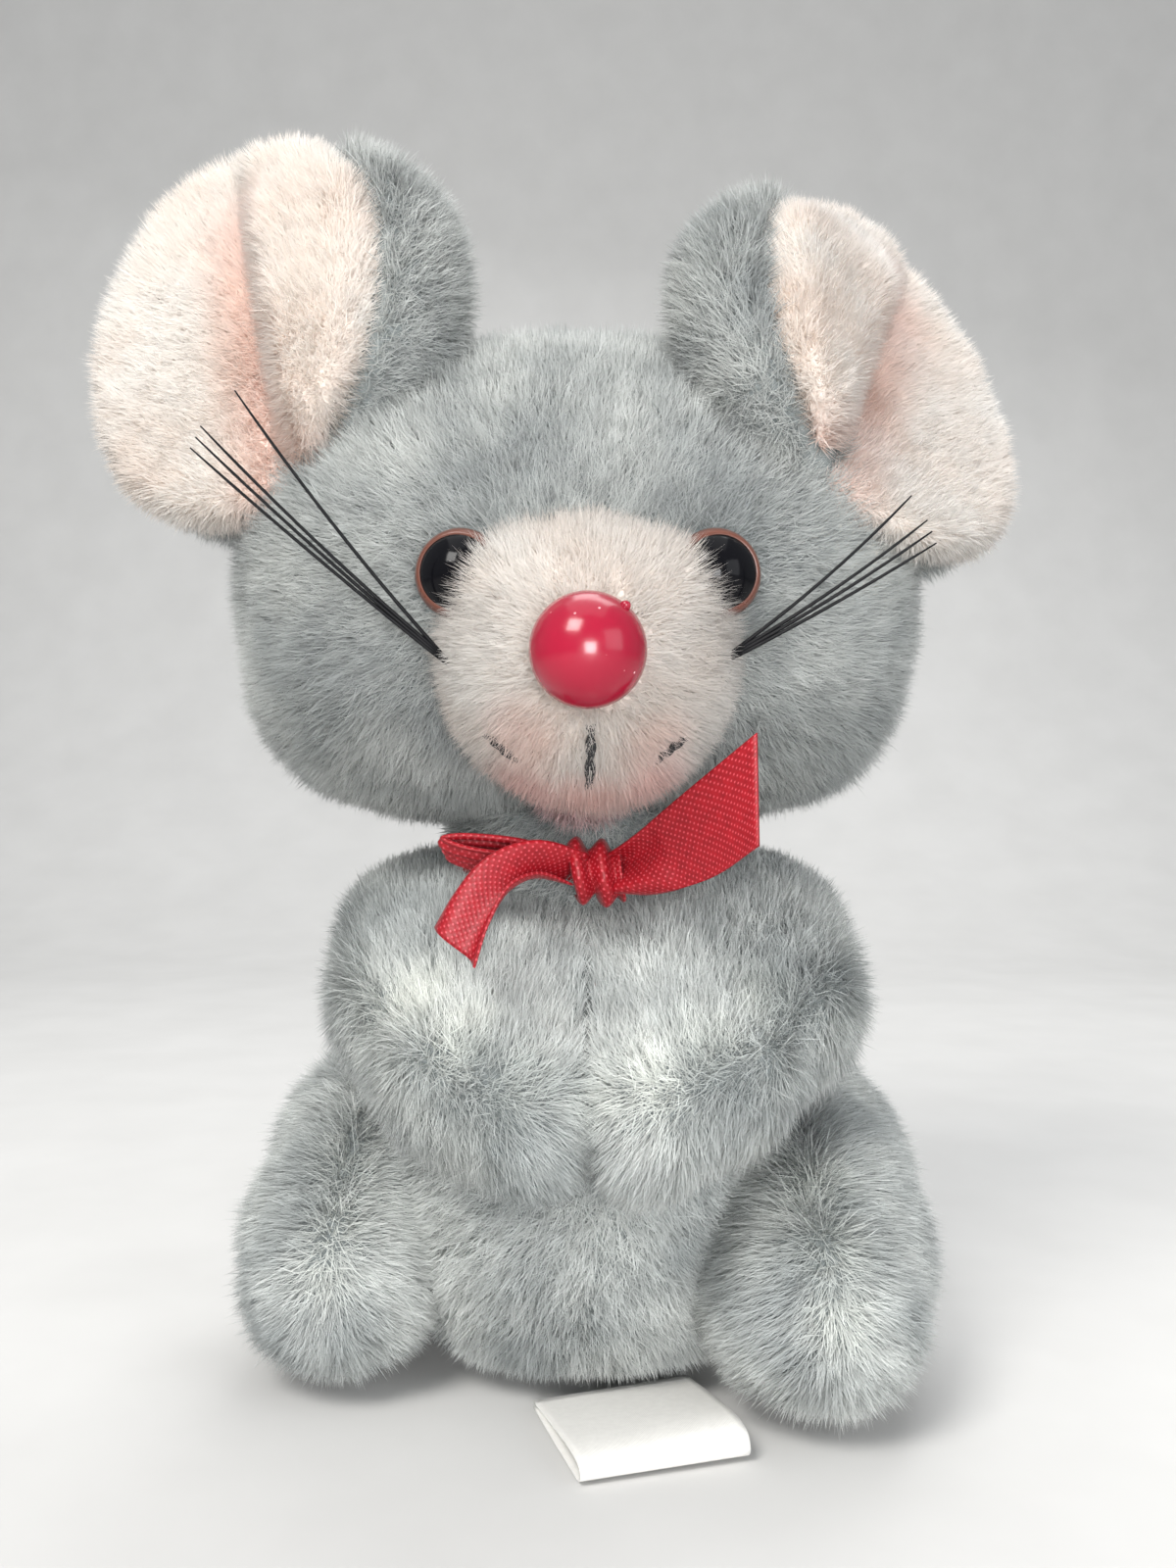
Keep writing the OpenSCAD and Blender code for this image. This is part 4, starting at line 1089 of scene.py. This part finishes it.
def tube(points, radii, sides=10):
    """Vertices and faces of a round tube along points, with closed ends."""
    points = np.array(points, float)
    tangent = unit(np.gradient(points, axis=0))
    side = unit(np.cross(tangent, np.array([0.31, 0.17, 0.93])))
    other = np.cross(tangent, side)
    angles = np.linspace(0, 2 * math.pi, sides, endpoint=False)
    rings = [
        p + r * (np.cos(angles)[:, None] * s + np.sin(angles)[:, None] * o)
        for p, r, s, o in zip(points, radii, side, other, strict=True)
    ]
    vertices = np.concatenate([*rings, points[:1], points[-1:]])
    faces = []
    for k in range(len(points) - 1):
        for i in range(sides):
            j = (i + 1) % sides
            faces.append((k * sides + i, k * sides + j, (k + 1) * sides + j, (k + 1) * sides + i))
    first, last = len(vertices) - 2, len(vertices) - 1
    end = (len(points) - 1) * sides
    for i in range(sides):
        j = (i + 1) % sides
        faces.append((first, j, i))
        faces.append((last, end + i, end + j))
    return vertices, faces


def joined(parts):
    """Several (vertices, faces) as one."""
    vertices, faces, start = [], [], 0
    for v, f in parts:
        vertices.append(np.asarray(v))
        faces += [tuple(start + i for i in face) for face in f]
        start += len(v)
    return np.concatenate(vertices), faces


# each whisker's angle above the horizontal, and forward of straight sideways
WHISKER_FANS = {
    "left": [(38.5, 9), (39.5, 10), (40.5, 12), (48.5, 13)],
    "right": [(27, 9), (28.5, 10), (30, 11), (36, 12)],
}
WHISKER_LENGTHS = {"left": 41.0, "right": 29.0}


def make_whiskers(word, side):
    """A fan of nylon bristles that bend a little and taper to their tips."""
    parts = []
    for i, (rise, forward) in enumerate(WHISKER_FANS[word]):
        up, out = math.radians(rise), math.radians(forward)
        direction = np.array([side * math.cos(up), -math.sin(out), math.sin(up)])
        direction /= np.linalg.norm(direction)
        bend = np.cross(direction, [0, 1, 0]) * side * (1.2 + 0.5 * i)
        start = np.array([side * 20.8, -47.4, 109.6 + 0.4 * i])
        t = np.linspace(-0.06, 1, 14)[:, None]
        line = start + direction * WHISKER_LENGTHS[word] * t + bend * t**2
        radii = np.interp(t[:, 0], [-0.06, 0, 0.85, 1], [0.22, 0.27, 0.2, 0.1])
        parts.append(tube(line, radii))
    obj = add_mesh(f"whiskers_{word}_bristles", *joined(parts), nylon)
    declare(obj, "head", "whisker_nylon", f"whiskers_{word}")


def make_mouth():
    """Black yarn stitched over the muzzle: one upright stroke and a short stroke to each side."""
    strokes = [((0.4, 99.6), (0.2, 91.5)), ((9.0, 95.0), (13.0, 98.2)), ((-9.5, 95.0), (-13.5, 98.5))]
    parts = []
    for (x0, z0), (x1, z1) in strokes:
        for strand in (0, 1):
            line, radii = [], []
            for t in np.linspace(0, 1, 24):
                x, z = x0 + (x1 - x0) * t, z0 + (z1 - z0) * t
                turn = 9 * t + math.pi * strand
                reach = MUZZLE_R - 2.6 + 1.0 * math.sin(math.pi * t) + 0.35 * math.sin(turn)
                depth = math.sqrt(max(reach**2 - x**2 - (z - MUZZLE_AT[2]) ** 2, 1.0))
                line.append((x + 0.35 * math.cos(turn), MUZZLE_AT[1] - depth, z))
                radii.append(0.42)
            parts.append(tube(line, radii, 8))
    obj = add_mesh("mouth_stitches", *joined(parts), yarn)
    declare(obj, "head", "mouth_yarn", "mouth_thread")


for side, word in ((-1, "left"), (1, "right")):
    make_eye(side, word)
    make_whiskers(word, side)
make_nose()
make_mouth()


# ---- ribbon and label


def smooth_path(stops, count):
    """A smooth curve of count rows through rows of numbers."""
    stops = np.array(stops, float)
    padded = np.concatenate([[2 * stops[0] - stops[1]], stops, [2 * stops[-1] - stops[-2]]])
    result = []
    for s in np.linspace(0, len(stops) - 1, count):
        i = min(int(s), len(stops) - 2)
        t = s - i
        a, b, c, d = padded[i : i + 4]
        square, cube = 2 * a - 5 * b + 4 * c - d, 3 * b - a - 3 * c + d
        result.append(0.5 * (2 * b + (c - a) * t + square * t**2 + cube * t**3))
    return np.array(result)


def cloth_strip(name, left, right, thick, material, cut=0.0, folds=1):
    """A closed strip of cloth between two edge lines, with UVs in millimetres. Gives its length and width too.
    Where its edges are closer together than its cut width, the cloth gathers in lengthwise folds."""
    left, right = np.asarray(left), np.asarray(right)
    rows, columns = len(left), CLOTH_COLUMNS
    t = np.linspace(0, 1, columns)[None, :, None]
    middle = left[:, None] * (1 - t) + right[:, None] * t
    if cut:
        span = np.linalg.norm(right - left, axis=1)
        depth = np.sqrt(np.maximum(cut**2 - span**2, 0)) / (4 * folds)
        outward = unit(np.cross(np.gradient(middle, axis=0), np.gradient(middle, axis=1)))
        middle = middle + outward * depth[:, None, None] * np.sin(2 * math.pi * folds * t)
    normal = unit(np.cross(np.gradient(middle, axis=0), np.gradient(middle, axis=1)))
    top = (middle + normal * thick / 2).reshape(-1, 3)
    bottom = (middle - normal * thick / 2).reshape(-1, 3)
    half = rows * columns
    faces = []
    for i, j in itertools.product(range(rows - 1), range(columns - 1)):
        a = i * columns + j
        b = a + columns
        faces.append((a, b, b + 1, a + 1))
        faces.append((half + a, half + a + 1, half + b + 1, half + b))
    rim = [i * columns for i in range(rows)] + [(rows - 1) * columns + j for j in range(1, columns)]
    rim += [i * columns + columns - 1 for i in range(rows - 2, -1, -1)] + list(range(columns - 2, 0, -1))
    for a, b in zip(rim, rim[1:] + rim[:1], strict=True):
        faces.append((b, a, half + a, half + b))
    obj = add_mesh(name, np.concatenate([top, bottom]), faces, material)
    step = np.linalg.norm(np.diff(middle[:, columns // 2], axis=0), axis=1)
    u = np.concatenate([[0], np.cumsum(step)])
    crosswise = np.cumsum(np.linalg.norm(np.diff(middle, axis=1), axis=2), axis=1)
    v = np.concatenate([np.zeros((rows, 1)), crosswise], axis=1)
    uv = np.stack([np.repeat(u[:, None], columns, 1), v], axis=2).reshape(-1, 2)
    uv = np.concatenate([uv, uv])
    layer = obj.data.uv_layers.new(name="cloth")
    picked = [uv[i] for polygon in obj.data.polygons for i in polygon.vertices]
    layer.data.foreach_set("uv", np.array(picked, np.float32).ravel())
    return obj, float(u[-1]), float(np.mean(v[:, -1]))


CLOTH_COLUMNS = 25  # vertices across a strip
RIBBON_T, SATIN_T = 0.35, 0.3
RIBBON_W = 10.0  # the stock ribbon's own width. Each piece is as long as its path, and cut to this width
LABEL_TURN = 17.0  # degrees

# each piece of the bow is given by its two long edges
RIGHT_TAIL = (
    [(1.0, -37.5, 81.0), (5.5, -42.0, 84.2), (12.5, -48.5, 90.5), (21.8, -55.5, 98.6)],
    [(4.0, -38.0, 76.8), (9.5, -43.5, 77.0), (16.5, -50.0, 79.6), (22.0, -55.8, 84.0)],
)
LEFT_TAIL = (
    [(-1.0, -38.0, 82.4), (-8.0, -42.5, 83.4), (-14.0, -45.0, 81.0),
     (-18.0, -46.2, 77.0), (-20.6, -47.0, 72.6)],
    [(-2.0, -41.0, 78.0), (-6.5, -46.0, 80.0), (-10.5, -49.5, 78.6),
     (-13.2, -51.0, 73.6), (-15.0, -51.5, 67.8)],
)
LOOP = (
    [(-1.5, -36.5, 81.5), (-9.0, -39.0, 84.2), (-17.0, -41.0, 85.2),
     (-20.4, -42.2, 84.6), (-16.5, -43.0, 83.0), (-8.0, -41.0, 81.6)],
    [(-1.5, -34.5, 79.0), (-9.0, -34.0, 81.4), (-16.5, -35.0, 82.2),
     (-19.6, -35.6, 81.6), (-16.0, -36.4, 80.2), (-8.0, -36.0, 79.2)],
)
KNOT = (
    [(-2.6, -35.0, 83.6), (-2.8, -39.6, 83.2), (-2.2, -41.6, 79.6), (-1.4, -39.4, 76.4), (-1.8, -35.0, 76.2)],
    [(4.6, -34.6, 83.0), (4.4, -39.2, 82.4), (4.8, -41.2, 78.8), (5.2, -39.0, 75.6), (4.4, -34.6, 75.8)],
)


def make_ribbon():
    """The bow's two tails, its loop and its knot, and the band round the neck."""
    for name, (upper, lower), held, folds in (
        ("ribbon_tail_right", RIGHT_TAIL, "hung", 1), ("ribbon_tail_left", LEFT_TAIL, "hung", 1),
        ("ribbon_loop", LOOP, "folded", 3), ("ribbon_knot", KNOT, "gathered", 2),
    ):
        edges = [smooth_path(stops, 40) for stops in (upper, lower)]
        obj, length, _ = cloth_strip(name, *edges, RIBBON_T, ribbon_red, RIBBON_W, folds)
        declare(obj, "body", "red_ribbon", *(["ribbon_bow"] if name == "ribbon_knot" else []))
    angles = np.linspace(0, 2 * math.pi, 120)
    ring_r = (COLLAR_HIGH[0] - COLLAR_LOW[0]) / 2
    ripple = 0.5 * np.sin(7 * angles) + 0.35 * np.sin(11 * angles + 1)

    def edge(r, z):
        return np.stack([r * np.cos(angles), r * np.sin(angles), z + 0 * angles], axis=1)

    upper = edge(ring_r - 4.6 + ripple, COLLAR_HIGH[2] + 0.2)
    lower = edge(ring_r - 2.6 + ripple, COLLAR_LOW[2] + 1.2)
    obj, length, _ = cloth_strip("ribbon_neck_band", upper, lower, RIBBON_T, ribbon_red, RIBBON_W, 2)
    declare(obj, "body", "red_ribbon", "ribbon_collar")


def make_label():
    """A folded satin label, without text, that lies on the floor in front of the seat, turned a little."""
    half = (LABEL_HIGH[0] - LABEL_LOW[0]) / 2
    middle = (LABEL_HIGH[0] + LABEL_LOW[0]) / 2
    front, back = LABEL_LOW[1], LABEL_HIGH[1] + 3
    under = [(back, 1.0), (front + 12, 0.5), (front + 4, 0.4), (front + 1, 0.5)]
    over = [(front, 1.5), (front + 1.2, 2.9), (front + 5, 3.4), (front + 12, 3.0), (back, 1.9)]
    turn = math.radians(LABEL_TURN)

    def edge(x, lift):
        """One side of the label, turned about its middle."""
        rows = []
        for y, z in under + over:
            up = y - (front + back) / 2
            across = middle + x * math.cos(turn) - up * math.sin(turn)
            along = (front + back) / 2 + x * math.sin(turn) + up * math.cos(turn)
            rows.append((across, along, 0.2 + z * lift))
        return smooth_path(rows, 60)

    obj, length, wide = cloth_strip("label_satin", edge(-half, 0.8), edge(half, 1.25), SATIN_T, label_satin)
    declare(obj, "body", "white_satin", "sewn_label")


make_ribbon()
make_label()

# ---- materials for the carried-over CAD nodes

CAD_MATERIALS = {
    "steel": steel, "brass": brass, "case_plastic": white_plastic, "grommet_plastic": grommet_plastic,
    "key_steel": key_metal, "filling": filling,
}


def dress_cad_nodes():
    for part in frame["record"]["subparts"]:
        material = CAD_MATERIALS.get(part["material_slot"])
        if material is None:
            continue
        obj = NODES[part["node"]]
        for slot in obj.material_slots:
            slot.link = "OBJECT"
            slot.material = material


dress_cad_nodes()
